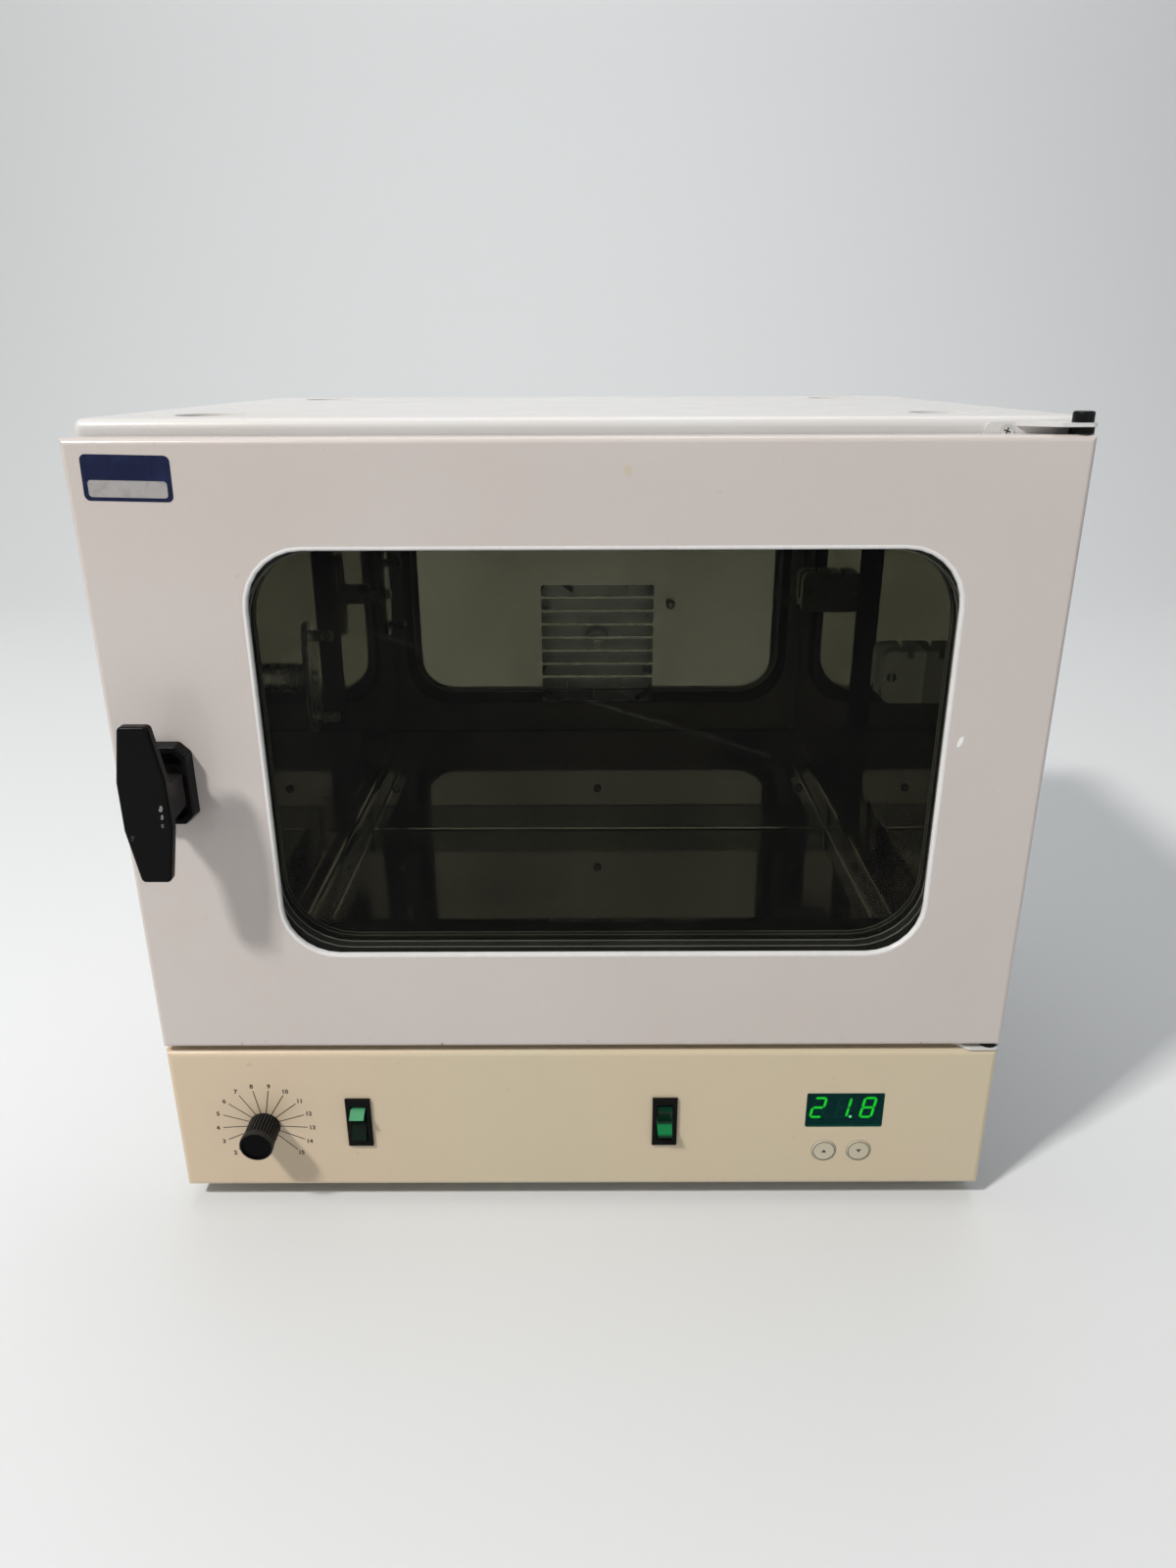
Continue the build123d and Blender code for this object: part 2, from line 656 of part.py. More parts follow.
# ------------------------------------------------------------------ fan, heater and probe
# The motor stands on the back of the liner; its shaft carries a radial wheel in the space
# behind the baffle, inside a ring-shaped heater.
motor_boss_radius = 12.0
motor_boss_length = 8.0
motor_length = 27.0
motor_bell_radius = 24.0
motor_bell_length = 5.0
motor_back = back_pad_front + motor_boss_length + motor_length
motor_end_wall = 3.0
fan_shaft_reach = 27.0        # in front of the chamber's back wall
fan_shaft_front = chamber_rear - fan_shaft_reach
fan_shaft_back = motor_back - motor_end_wall
wheel_radius = 48.0
wheel_plate = 1.2
wheel_gap = 7.0
wheel_back = chamber_rear - wheel_gap
blade_middle_radius = 41.0
blade_chord = 11.0
blade_length = 18.0
blade_count = 12
blade_thickness = 1.2
blade_lean = 25.0
hub_radius = 8.0
hub_setback = 4.0
hub_front = fan_shaft_front + hub_setback
nut_flats = 10.0

with BuildPart() as fan_motor:
    with BuildSketch(front_plane(back_pad_front)):
        with Locations((chamber_shift, fan_z)):
            Circle(motor_boss_radius)
    extrude(amount=-motor_boss_length)
    with BuildSketch(front_plane(back_pad_front + motor_boss_length)):
        with Locations((chamber_shift, fan_z)):
            Circle(motor_radius)
    extrude(amount=-(motor_length - motor_bell_length))
    with BuildSketch(front_plane(motor_back - motor_bell_length)):
        with Locations((chamber_shift, fan_z)):
            Circle(motor_bell_radius)
    extrude(amount=-motor_bell_length)
    with BuildSketch(front_plane(back_pad_front)):
        with Locations((chamber_shift, fan_z)):
            Circle(fan_shaft_radius + running_gap)
    extrude(amount=-(fan_shaft_back - back_pad_front + fit_gap), mode=Mode.SUBTRACT)
fan_motor.part.label = "fan_motor"
export_step(fan_motor.part, "parts/fan_motor.step")

with BuildPart() as fan_shaft:
    with BuildSketch(front_plane(fan_shaft_front)):
        with Locations((chamber_shift, fan_z)):
            Circle(fan_shaft_radius)
    extrude(amount=-(fan_shaft_back - fan_shaft_front))
fan_shaft.part.label = "fan_shaft"
export_step(fan_shaft.part, "parts/fan_shaft.step")

with BuildPart() as fan_impeller:
    with BuildSketch(front_plane(wheel_back - wheel_plate)):
        with Locations((chamber_shift, fan_z)):
            Circle(wheel_radius)
    extrude(amount=-wheel_plate)
    with BuildSketch(front_plane(wheel_back)):
        with Locations((chamber_shift, fan_z)):
            Circle(hub_radius)
    extrude(amount=wheel_back - hub_front)
    with BuildSketch(front_plane(hub_front)):
        with Locations((chamber_shift, fan_z)):
            RegularPolygon(nut_flats / 2, 6, major_radius=False)
    extrude(amount=hub_front - fan_shaft_front - fit_gap)
    with BuildSketch(front_plane(wheel_back - wheel_plate)):
        with Locations((chamber_shift, fan_z)):
            with PolarLocations(blade_middle_radius, blade_count):
                Rectangle(blade_chord, blade_thickness, rotation=blade_lean)
    extrude(amount=blade_length)
    with BuildSketch(front_plane(wheel_back)):
        with Locations((chamber_shift, fan_z)):
            Circle(fan_shaft_radius + running_gap)
    extrude(amount=chamber_depth, mode=Mode.SUBTRACT)
fan_impeller.part.label = "fan_impeller"
export_step(fan_impeller.part, "parts/fan_impeller.step")

heater_gap = 17.0             # ring's middle in front of the chamber's back wall
heater_leg_proud = 6.0
heater_y = chamber_rear - heater_gap
heater_leg_end = back_pad_front + insulation_thickness + heater_leg_proud
heater_open = 90.0 - heater_leg_angle

with BuildPart() as heater_element:
    with BuildLine(front_plane(heater_y)) as heater_path:
        CenterArc((chamber_shift, fan_z), heater_radius, -heater_open, 180.0 + 2 * heater_open)
    with BuildSketch(Plane(origin=heater_path.line @ 0, z_dir=heater_path.line % 0)):
        Circle(heater_tube)
    sweep()
    # thicker cold ends, which lead back through the wall
    with BuildSketch(front_plane(heater_y - heater_end_radius)):
        with Locations((chamber_shift - heater_leg_x, heater_leg_z),
                       (chamber_shift + heater_leg_x, heater_leg_z)):
            Circle(heater_end_radius)
    extrude(amount=-(heater_leg_end - heater_y + heater_end_radius))
heater_element.part.label = "heater_element"
export_step(heater_element.part, "parts/heater_element.step")

probe_reach = 6.0             # in front of the baffle
probe_tail = 4.0
probe_round = 2.4
probe_tip = baffle_front - probe_reach
probe_end = back_pad_front + insulation_thickness + probe_tail
probe_collar_radius = 5.0
probe_collar = 2.0

with BuildPart() as temperature_probe:
    with BuildSketch(front_plane(probe_tip)):
        with Locations((probe_x, probe_z)):
            Circle(probe_radius)
    extrude(amount=-(probe_end - probe_tip))
    tip_edges = temperature_probe.faces().sort_by(Axis.Y)[0].edges()
    fillet(tip_edges, radius=probe_round)
    with BuildSketch(front_plane(baffle_front + liner_sheet)):
        with Locations((probe_x, probe_z)):
            Circle(probe_collar_radius)
    extrude(amount=-probe_collar)
temperature_probe.part.label = "temperature_probe"
export_step(temperature_probe.part, "parts/temperature_probe.step")

# ------------------------------------------------------------------ rotor drive
# A gearmotor outside the left wall turns a short shaft; a bar on the shaft carries two
# pins that a bottle carousel slides onto.
pillar_length = 16.0
gear_front = chamber_left - liner_sheet - pillar_length     # gearbox face towards the chamber
gear_depth = 20.0
gear_corner = 6.0
pillar_spacing = 44.0
pillar_radius = 4.0
can_radius = 13.0
can_x = gear_front - gear_depth / 2
gear_end_wall = 2.0
shaft_outer_end = gear_front - gear_depth + gear_end_wall
boss_end = chamber_left + boss_length
hub_start = boss_end + move_gap
arm_left = boss_end + move_gap + hub_length
arm_right = arm_left + arm_thickness
bush_spigot_length = 9.0
bush_end = chamber_left - bush_spigot_length
arm_screw_head_radius = 3.6
arm_screw_head_height = 2.2
arm_screw_length = 9.0
pin_chamfer = 0.8

with BuildPart() as gearmotor:
    with BuildSketch(side_plane(gear_front)):
        with Locations((axis_y, axis_z)):
            RectangleRounded(gear_size, gear_size, gear_corner)
    extrude(amount=-gear_depth)
    with BuildSketch(side_plane(gear_front)):
        with Locations((axis_y, axis_z)):
            with GridLocations(pillar_spacing, pillar_spacing, 2, 2):
                Circle(pillar_radius)
    extrude(amount=pillar_length)
    with BuildSketch(Plane.XY.offset(axis_z - gear_size / 2)):
        with Locations((can_x, axis_y)):
            Circle(can_radius)
    extrude(amount=-can_length)
    with BuildSketch(side_plane(gear_front)):
        with Locations((axis_y, axis_z)):
            Circle(drive_shaft_radius + running_gap)
    extrude(amount=-(gear_front - shaft_outer_end + fit_gap), mode=Mode.SUBTRACT)
gearmotor.part.label = "gearmotor"
export_step(gearmotor.part, "parts/gearmotor.step")

with BuildPart() as shaft_bush:
    with BuildSketch(side_plane(chamber_left)):
        with Locations((axis_y, axis_z)):
            Circle(boss_radius)
    extrude(amount=boss_length)
    fillet(shaft_bush.faces().sort_by(Axis.X)[-1].edges(), radius=pin_chamfer)
    with BuildSketch(side_plane(chamber_left)):
        with Locations((axis_y, axis_z)):
            Circle(bush_spigot_radius)
    extrude(amount=bush_end - chamber_left)
    with BuildSketch(side_plane(bush_end)):
        with Locations((axis_y, axis_z)):
            Circle(drive_shaft_radius + running_gap)
    extrude(amount=body_width, mode=Mode.SUBTRACT)
shaft_bush.part.label = "shaft_bush"
export_step(shaft_bush.part, "parts/shaft_bush.step")

with BuildPart() as drive_shaft:
    with BuildSketch(side_plane(shaft_outer_end)):
        with Locations((axis_y, axis_z)):
            Circle(drive_shaft_radius)
    extrude(amount=arm_left - shaft_outer_end)
    with BuildSketch(side_plane(arm_left)):
        with Locations((axis_y, axis_z)):
            Circle(arm_screw_radius + running_gap)
    extrude(amount=-arm_screw_length, mode=Mode.SUBTRACT)
drive_shaft.part.label = "drive_shaft"
export_step(drive_shaft.part, "parts/drive_shaft.step")

with BuildPart() as drive_hub:
    with BuildSketch(side_plane(hub_start)):
        with Locations((axis_y, axis_z)):
            Circle(boss_radius)
            Circle(drive_shaft_radius + running_gap, mode=Mode.SUBTRACT)
    extrude(amount=hub_length)
drive_hub.part.label = "drive_hub"
export_step(drive_hub.part, "parts/drive_hub.step")

arm_half = arm_length / 2
arm_waist = arm_half - arm_taper
arm_tip = 5.6                 # half the width of the cut-off ends
arm_corner = 4.0

with BuildPart() as drive_arm:
    with BuildSketch(side_plane(arm_left)) as arm_outline:
        with Locations((axis_y, axis_z)):
            Polygon((-arm_width / 2, -arm_waist), (-arm_tip, -arm_half), (arm_tip, -arm_half),
                    (arm_width / 2, -arm_waist), (arm_width / 2, arm_waist),
                    (arm_tip, arm_half), (-arm_tip, arm_half), (-arm_width / 2, arm_waist))
        fillet(arm_outline.vertices(), radius=arm_corner)
        with Locations((axis_y, axis_z)):
            Circle(arm_screw_radius + screw_clearance, mode=Mode.SUBTRACT)
            with GridLocations(0, drive_pin_spacing, 1, 2):
                Circle(arm_screw_radius + running_gap, mode=Mode.SUBTRACT)
    extrude(amount=arm_thickness)
drive_arm.part.label = "drive_arm"
export_step(drive_arm.part, "parts/drive_arm.step")

with BuildPart() as drive_pins:
    with BuildSketch(side_plane(arm_right)):
        with Locations((axis_y, axis_z)):
            with GridLocations(0, drive_pin_spacing, 1, 2):
                Circle(drive_pin_radius)
    extrude(amount=drive_pin_length)
    chamfer(drive_pins.faces().group_by(Axis.X)[-1].edges(), length=pin_chamfer)
    with BuildSketch(side_plane(arm_right)):
        with Locations((axis_y, axis_z)):
            with GridLocations(0, drive_pin_spacing, 1, 2):
                Circle(arm_screw_radius)
    extrude(amount=-arm_thickness)
drive_pins.part.label = "drive_pins"
export_step(drive_pins.part, "parts/drive_pins.step")

with BuildPart() as arm_screw:
    with BuildSketch(side_plane(arm_right)):
        with Locations((axis_y, axis_z)):
            Circle(arm_screw_head_radius)
    extrude(amount=arm_screw_head_height)
    fillet(arm_screw.faces().sort_by(Axis.X)[-1].edges(), radius=pin_chamfer)
    with BuildSketch(side_plane(arm_right)):
        with Locations((axis_y, axis_z)):
            Circle(arm_screw_radius)
    extrude(amount=-(arm_screw_length + arm_thickness - fit_gap))
arm_screw.part.label = "arm_screw"
export_step(arm_screw.part, "parts/arm_screw.step")

# ------------------------------------------------------------------ bearing block
# A white block on the right wall with an open slot: the carousel's axle drops in from
# above and two sprung plungers keep it down.
block_left = chamber_right - block_width
block_bottom = axis_z - block_below_axis
block_top = block_bottom + block_height
block_corner = 5.0
block_back_wall = 5.0
axle_slot_end = chamber_right - block_back_wall
catch_inset = 4.5
catch_rise = 2.0
catch_proud = 1.0             # into the slot
catch_round = 1.2
catch_x = block_left + catch_inset
catch_z = axis_z + catch_rise
catch_length = block_depth / 2 - axle_slot_radius + catch_proud
block_screw_recess = 2.0
cross_groove_width = 3.0
cross_groove_depth = 4.0

with BuildPart() as bearing_block:
    with BuildSketch(front_plane(axis_y - block_depth / 2)):
        with Locations((chamber_right - block_width / 2, (block_bottom + block_top) / 2)):
            Rectangle(block_width, block_height)
    extrude(amount=-block_depth)
    left_edges = bearing_block.faces().sort_by(Axis.X)[0].edges().filter_by(Axis.Y)
    fillet(left_edges, radius=block_corner)
    with BuildSketch(side_plane(block_left)):
        with Locations((axis_y, axis_z)):
            Circle(axle_slot_radius)
        with Locations((axis_y, axis_z + block_height / 2)):
            Rectangle(2 * axle_slot_radius, block_height)
    extrude(amount=axle_slot_end - block_left, mode=Mode.SUBTRACT)
    with BuildSketch(side_plane(block_left)):
        with Locations(*[(y, bearing_screw_z) for y in bearing_screw_ys]):
            Circle(screw_hole)
    extrude(amount=block_width, mode=Mode.SUBTRACT)
    with BuildSketch(side_plane(block_left)):
        with Locations(*[(y, bearing_screw_z) for y in bearing_screw_ys]):
            Circle(screw_head_radius + fit_gap)
    extrude(amount=block_screw_recess, mode=Mode.SUBTRACT)
    with BuildSketch(front_plane(axis_y - block_depth / 2)):
        with Locations((catch_x, catch_z)):
            Circle(catch_radius + fit_gap / 2)
    extrude(amount=-block_depth, mode=Mode.SUBTRACT)
    with BuildSketch(front_plane(axis_y - block_depth / 2)):
        with Locations((axle_slot_end - cross_groove_width, block_top)):
            Rectangle(cross_groove_width, 2 * cross_groove_depth)
    extrude(amount=-block_depth, mode=Mode.SUBTRACT)
bearing_block.part.label = "bearing_block"
export_step(bearing_block.part, "parts/bearing_block.step")

with BuildPart() as bearing_catch:
    with BuildSketch(front_plane(axis_y - block_depth / 2)):
        with Locations((catch_x, catch_z)):
            Circle(catch_radius)
    extrude(amount=-catch_length)
    with BuildSketch(front_plane(axis_y + block_depth / 2)):
        with Locations((catch_x, catch_z)):
            Circle(catch_radius)
    extrude(amount=catch_length)
    catch_ends = bearing_catch.faces().filter_by(Axis.Y).sort_by(Axis.Y)[1:3]
    fillet(catch_ends.edges(), radius=catch_round)
bearing_catch.part.label = "bearing_catch"
export_step(bearing_catch.part, "parts/bearing_catch.step")

with BuildPart() as bearing_screws:
    with BuildSketch(side_plane(block_left + block_screw_recess)):
        with Locations(*[(y, bearing_screw_z) for y in bearing_screw_ys]):
            Circle(screw_head_radius)
    extrude(amount=-screw_head_height)
    with BuildSketch(side_plane(block_left + block_screw_recess)):
        with Locations(*[(y, bearing_screw_z) for y in bearing_screw_ys]):
            Circle(screw_radius)
    extrude(amount=block_width - block_screw_recess + liner_sheet)
bearing_screws.part.label = "bearing_screws"
export_step(bearing_screws.part, "parts/bearing_screws.step")

# ------------------------------------------------------------------ screws in baffle and case
baffle_screw_length = 12.0
case_screw_length = 7.0
screw_round = 1.0

with BuildPart() as baffle_screws:
    with BuildSketch(front_plane(baffle_front)):
        with Locations(*post_places):
            Circle(screw_head_radius)
    extrude(amount=screw_head_height)
    fillet(baffle_screws.faces().group_by(Axis.Y)[0].edges(), radius=screw_round)
    with BuildSketch(front_plane(baffle_front)):
        with Locations(*post_places):
            Circle(screw_radius)
    extrude(amount=-baffle_screw_length)
baffle_screws.part.label = "baffle_screws"
export_step(baffle_screws.part, "parts/baffle_screws.step")

rear_screw_places = [(x, z) for x in (-rear_screw_x, rear_screw_x) for z in rear_screw_zs]

with BuildPart() as case_screws:
    with BuildSketch(front_plane(case_rear)):
        with Locations(*rear_screw_places):
            Circle(screw_head_radius)
    extrude(amount=-screw_head_height)
    with BuildSketch(front_plane(case_rear)):
        with Locations(*rear_screw_places):
            Circle(screw_radius)
    extrude(amount=case_screw_length)
    with BuildSketch(Plane.XY.offset(case_bottom)):
        with Locations(*bottom_screw_places):
            Circle(screw_head_radius)
    extrude(amount=-screw_head_height)
    with BuildSketch(Plane.XY.offset(case_bottom)):
        with Locations(*bottom_screw_places):
            Circle(screw_radius)
    extrude(amount=case_screw_length)
case_screws.part.label = "case_screws"
export_step(case_screws.part, "parts/case_screws.step")

# ------------------------------------------------------------------ door seal
seal_width = 8.0
seal_thickness = 1.5
seal_margin = 1.0

with BuildPart() as door_seal:
    with BuildSketch(front_plane(case_front)):
        with Locations((chamber_shift, chamber_middle_z)):
            RectangleRounded(chamber_width + 2 * (seal_margin + seal_width),
                             chamber_height + 2 * (seal_margin + seal_width),
                             chamber_corner + seal_margin + seal_width)
            RectangleRounded(chamber_width + 2 * seal_margin, chamber_height + 2 * seal_margin,
                             chamber_corner + seal_margin, mode=Mode.SUBTRACT)
    extrude(amount=seal_thickness)
door_seal.part.label = "door_seal"
export_step(door_seal.part, "parts/door_seal.step")

# ------------------------------------------------------------------ hinges
# Two bent brackets on the case front carry the pins.  The upper tab reaches over the
# door's top edge, the lower one lies on the control panel, under the door.
leg_front = case_front - hinge_plate
leg_reach = 36.0              # left of the pin's axis
leg_swing_room = 7.0          # the door's corner swings past the leg here
leg_left = hinge_x - leg_reach
leg_right = leg_left + bracket_width
leg_clear_right = hinge_x - leg_swing_room
leg_shoulder = 2.1
lower_leg_height = 9.0
tab_setback = 1.0
tab_rear_reach = 24.0         # left of the pin's axis, at the case and at its front edge
tab_front_reach = 10.0
tab_front = door_front + tab_setback
tab_left_rear = hinge_x - tab_rear_reach
tab_left_front = hinge_x - tab_front_reach
pin_engagement = 12.0
upper_tab_top = upper_tab_z + hinge_plate
lower_tab_top = panel_top + hinge_plate
upper_leg_bottom = upper_tab_top - bracket_drop
bracket_corner = 3.0
pin_proud = 2.0
pin_top = upper_tab_top + pin_proud

with BuildPart() as hinge_bracket_upper:
    with BuildSketch(front_plane(case_front)):
        with Locations(((leg_left + leg_right) / 2, upper_tab_top - leg_shoulder)):
            Rectangle(bracket_width, 2 * leg_shoulder)
        with Locations(((leg_left + leg_clear_right) / 2, upper_tab_top - bracket_drop / 2)):
            Rectangle(leg_clear_right - leg_left, bracket_drop)
    extrude(amount=hinge_plate)
    with BuildSketch(Plane.XY.offset(upper_tab_z)):
        Polygon((tab_left_rear, case_front - hinge_plate), (tab_left_front, tab_front),
                (leg_right, tab_front), (leg_right, case_front - hinge_plate), align=None)
    extrude(amount=hinge_plate)
    tab_edges = hinge_bracket_upper.edges().filter_by(Axis.Z).group_by(Axis.Y)[0]
    fillet(tab_edges, radius=bracket_corner)
    leg_edges = hinge_bracket_upper.edges().filter_by(Axis.Y).group_by(Axis.X)[0]
    fillet(leg_edges, radius=bracket_corner)
    with BuildSketch(Plane.XY.offset(upper_tab_z)):
        with Locations((hinge_x, hinge_y)):
            Circle(hinge_pin_radius + running_gap)
    extrude(amount=hinge_plate, mode=Mode.SUBTRACT)
    with BuildSketch(front_plane(leg_front)):
        with Locations(*upper_screws):
            Circle(screw_hole)
    extrude(amount=-hinge_plate, mode=Mode.SUBTRACT)
hinge_bracket_upper.part.label = "hinge_bracket_upper"
export_step(hinge_bracket_upper.part, "parts/hinge_bracket_upper.step")

with BuildPart() as hinge_bracket_lower:
    with BuildSketch(front_plane(case_front)):
        with Locations(((leg_left + leg_clear_right) / 2, panel_top + lower_leg_height / 2)):
            Rectangle(leg_clear_right - leg_left, lower_leg_height)
        with Locations(((leg_left + leg_right) / 2, panel_top + hinge_plate / 2)):
            Rectangle(bracket_width, hinge_plate)
    extrude(amount=hinge_plate)
    with BuildSketch(Plane.XY.offset(panel_top)):
        Polygon((tab_left_rear, case_front - hinge_plate), (tab_left_front, tab_front),
                (leg_right, tab_front), (leg_right, case_front - hinge_plate), align=None)
    extrude(amount=hinge_plate)
    tab_edges = hinge_bracket_lower.edges().filter_by(Axis.Z).group_by(Axis.Y)[0]
    fillet(tab_edges, radius=bracket_corner)
    with BuildSketch(Plane.XY.offset(panel_top)):
        with Locations((hinge_x, hinge_y)):
            Circle(hinge_pin_radius + running_gap)
    extrude(amount=hinge_plate, mode=Mode.SUBTRACT)
    with BuildSketch(front_plane(leg_front)):
        with Locations(*lower_screws):
            Circle(screw_hole)
    extrude(amount=-hinge_plate, mode=Mode.SUBTRACT)
hinge_bracket_lower.part.label = "hinge_bracket_lower"
export_step(hinge_bracket_lower.part, "parts/hinge_bracket_lower.step")

with BuildPart() as hinge_pins:
    with BuildSketch(Plane.XY.offset(pin_top)):
        with Locations((hinge_x, hinge_y)):
            Circle(hinge_pin_radius)
    extrude(amount=-(pin_top - door_top + pin_engagement))
    with BuildSketch(Plane.XY.offset(panel_top)):
        with Locations((hinge_x, hinge_y)):
            Circle(hinge_pin_radius)
    extrude(amount=door_bottom - panel_top + pin_engagement)
hinge_pins.part.label = "hinge_pins"
export_step(hinge_pins.part, "parts/hinge_pins.step")

with BuildPart() as hinge_washers:
    with BuildSketch(Plane.XY.offset(door_top + fit_gap)):
        with Locations((hinge_x, hinge_y)):
            Circle(hinge_washer_radius)
            Circle(hinge_pin_radius + running_gap, mode=Mode.SUBTRACT)
    extrude(amount=upper_tab_z - door_top - fit_gap)
    with BuildSketch(Plane.XY.offset(lower_tab_top)):
        with Locations((hinge_x, hinge_y)):
            Circle(hinge_washer_radius)
            Circle(hinge_pin_radius + running_gap, mode=Mode.SUBTRACT)
    extrude(amount=door_bottom - lower_tab_top - fit_gap)
hinge_washers.part.label = "hinge_washers"
export_step(hinge_washers.part, "parts/hinge_washers.step")

with BuildPart() as hinge_cap:
    with BuildSketch(Plane.XY.offset(upper_tab_top)):
        with Locations((hinge_x, hinge_y)):
            Circle(hinge_cap_radius)
    extrude(amount=hinge_cap_height)
    fillet(hinge_cap.faces().sort_by(Axis.Z)[-1].edges(), radius=hinge_cap_round)
    with BuildSketch(Plane.XY.offset(upper_tab_top)):
        with Locations((hinge_x, hinge_y)):
            Circle(hinge_pin_radius + running_gap)
    extrude(amount=pin_top - upper_tab_top + fit_gap, mode=Mode.SUBTRACT)
hinge_cap.part.label = "hinge_cap"
export_step(hinge_cap.part, "parts/hinge_cap.step")

hinge_screw_head = 0.5
hinge_screw_length = 7.0

with BuildPart() as hinge_screws:
    with BuildSketch(front_plane(leg_front)):
        with Locations(*(upper_screws + lower_screws)):
            Circle(screw_head_radius)
    extrude(amount=hinge_screw_head)
    with BuildSketch(front_plane(leg_front)):
        with Locations(*(upper_screws + lower_screws)):
            Circle(screw_radius)
    extrude(amount=-hinge_screw_length)
hinge_screws.part.label = "hinge_screws"
export_step(hinge_screws.part, "parts/hinge_screws.step")

# ------------------------------------------------------------------ door
# A painted pan with a glazed opening.  A rubber gasket carries the outer pane; a deep
# frame behind it carries the inner pane and fills the chamber's mouth.
door_edge = 2.5
gasket_web = 1.0
gasket_proud = 0.5
gasket_sheet_gap = 0.1
glass_setback = 2.0
glass_front = door_front + glass_setback
gasket_back = glass_front + glass_thickness + fit_gap
frame_front = gasket_back + gasket_sheet_gap
inner_glass_setback = 12.1
inner_glass_front = door_front + inner_glass_setback
frame_flange = 5.0
frame_flange_thickness = 1.4
frame_back = door_front + inner_frame_depth
panel_hole = gasket_flange + fit_gap
lining_sheet = 1.2
lining_front = door_back - lining_sheet
shank_room = 0.6
shank_hole = shank_radius + shank_room
door_screw_side_inset = 13.0
door_screw_x = body_width / 2 - door_screw_side_inset
door_screw_inset = 14.0
door_screw_head = 0.5
door_screw_length = 8.0
door_screw_places = [(x, z) for x in (-door_screw_x, door_screw_x)
                     for z in (door_bottom + door_screw_inset, door_middle_z,
                               door_top - door_screw_inset)]

with BuildPart() as door_shell:
    with BuildSketch(front_plane(door_front)):
        with Locations((0, door_middle_z)):
            Rectangle(body_width, door_height)
    extrude(amount=-door_thickness)
    fillet(door_shell.faces().sort_by(Axis.Y)[0].edges(), radius=door_edge)
    with BuildSketch(front_plane(door_front + sheet)):
        with Locations((0, door_middle_z)):
            Rectangle(body_width - 2 * sheet, door_height - 2 * sheet)
    extrude(amount=-door_thickness, mode=Mode.SUBTRACT)
    inner_face = door_shell.faces().filter_by(Axis.Y).sort_by(Axis.Y)[1]
    fillet(inner_face.edges(), radius=door_edge - sheet)
    # screw posts on the inside
    with BuildSketch(front_plane(door_front + sheet)):
        with Locations(*door_screw_places):
            Circle(2 * screw_radius)
    extrude(amount=-(lining_front - door_front - sheet))
    with BuildSketch(front_plane(lining_front)):
        with Locations(*door_screw_places):
            Circle(screw_hole)
    extrude(amount=door_screw_length, mode=Mode.SUBTRACT)
    with BuildSketch(front_plane(door_front)):
        with Locations((window_shift, window_middle_z)):
            RectangleRounded(window_width + 2 * gasket_web, window_height + 2 * gasket_web,
                             window_corner + gasket_web)
        with Locations((latch_x, latch_z)):
            Circle(shank_hole)
    extrude(amount=-sheet, mode=Mode.SUBTRACT)
    with BuildSketch(Plane.XY.offset(door_bottom)):
        with Locations((hinge_x, hinge_y)):
            Circle(hinge_pin_radius + move_gap)
    extrude(amount=door_height, mode=Mode.SUBTRACT)
door_shell.part.label = "door_shell"
export_step(door_shell.part, "parts/door_shell.step")

with BuildPart() as door_inner_panel:
    with BuildSketch(front_plane(lining_front)):
        with Locations((0, door_middle_z)):
            Rectangle(body_width - 2 * (sheet + fit_gap), door_height - 2 * (sheet + fit_gap))
        with Locations((window_shift, window_middle_z)):
            RectangleRounded(window_width + 2 * panel_hole, window_height + 2 * panel_hole,
                             inner_corner + fit_gap, mode=Mode.SUBTRACT)
        with Locations((latch_x, latch_z)):
            Circle(shank_hole, mode=Mode.SUBTRACT)
        with Locations(*door_screw_places):
            Circle(screw_hole, mode=Mode.SUBTRACT)
    extrude(amount=-lining_sheet)
door_inner_panel.part.label = "door_inner_panel"
export_step(door_inner_panel.part, "parts/door_inner_panel.step")

with BuildPart() as door_screws:
    with BuildSketch(front_plane(door_back)):
        with Locations(*door_screw_places):
            Circle(screw_head_radius)
    extrude(amount=-door_screw_head)
    with BuildSketch(front_plane(door_back)):
        with Locations(*door_screw_places):
            Circle(screw_radius)
    extrude(amount=door_screw_length)
door_screws.part.label = "door_screws"
export_step(door_screws.part, "parts/door_screws.step")

with BuildPart() as hinge_bushes:
    with BuildSketch(Plane.XY.offset(door_top - sheet - fit_gap)):
        with Locations((hinge_x, hinge_y)):
            Circle(hinge_bush_radius)
            Circle(hinge_pin_radius + running_gap, mode=Mode.SUBTRACT)
    extrude(amount=-hinge_bush_length)
    with BuildSketch(Plane.XY.offset(door_bottom + sheet + fit_gap)):
        with Locations((hinge_x, hinge_y)):
            Circle(hinge_bush_radius)
            Circle(hinge_pin_radius + running_gap, mode=Mode.SUBTRACT)
    extrude(amount=hinge_bush_length)
hinge_bushes.part.label = "hinge_bushes"
export_step(hinge_bushes.part, "parts/hinge_bushes.step")

with BuildPart() as outer_glass:
    with BuildSketch(front_plane(glass_front)):
        with Locations((window_shift, window_middle_z)):
            RectangleRounded(window_width + 2 * glass_margin, window_height + 2 * glass_margin,
                             window_corner + glass_margin)
    extrude(amount=-glass_thickness)
outer_glass.part.label = "outer_glass"
export_step(outer_glass.part, "parts/outer_glass.step")

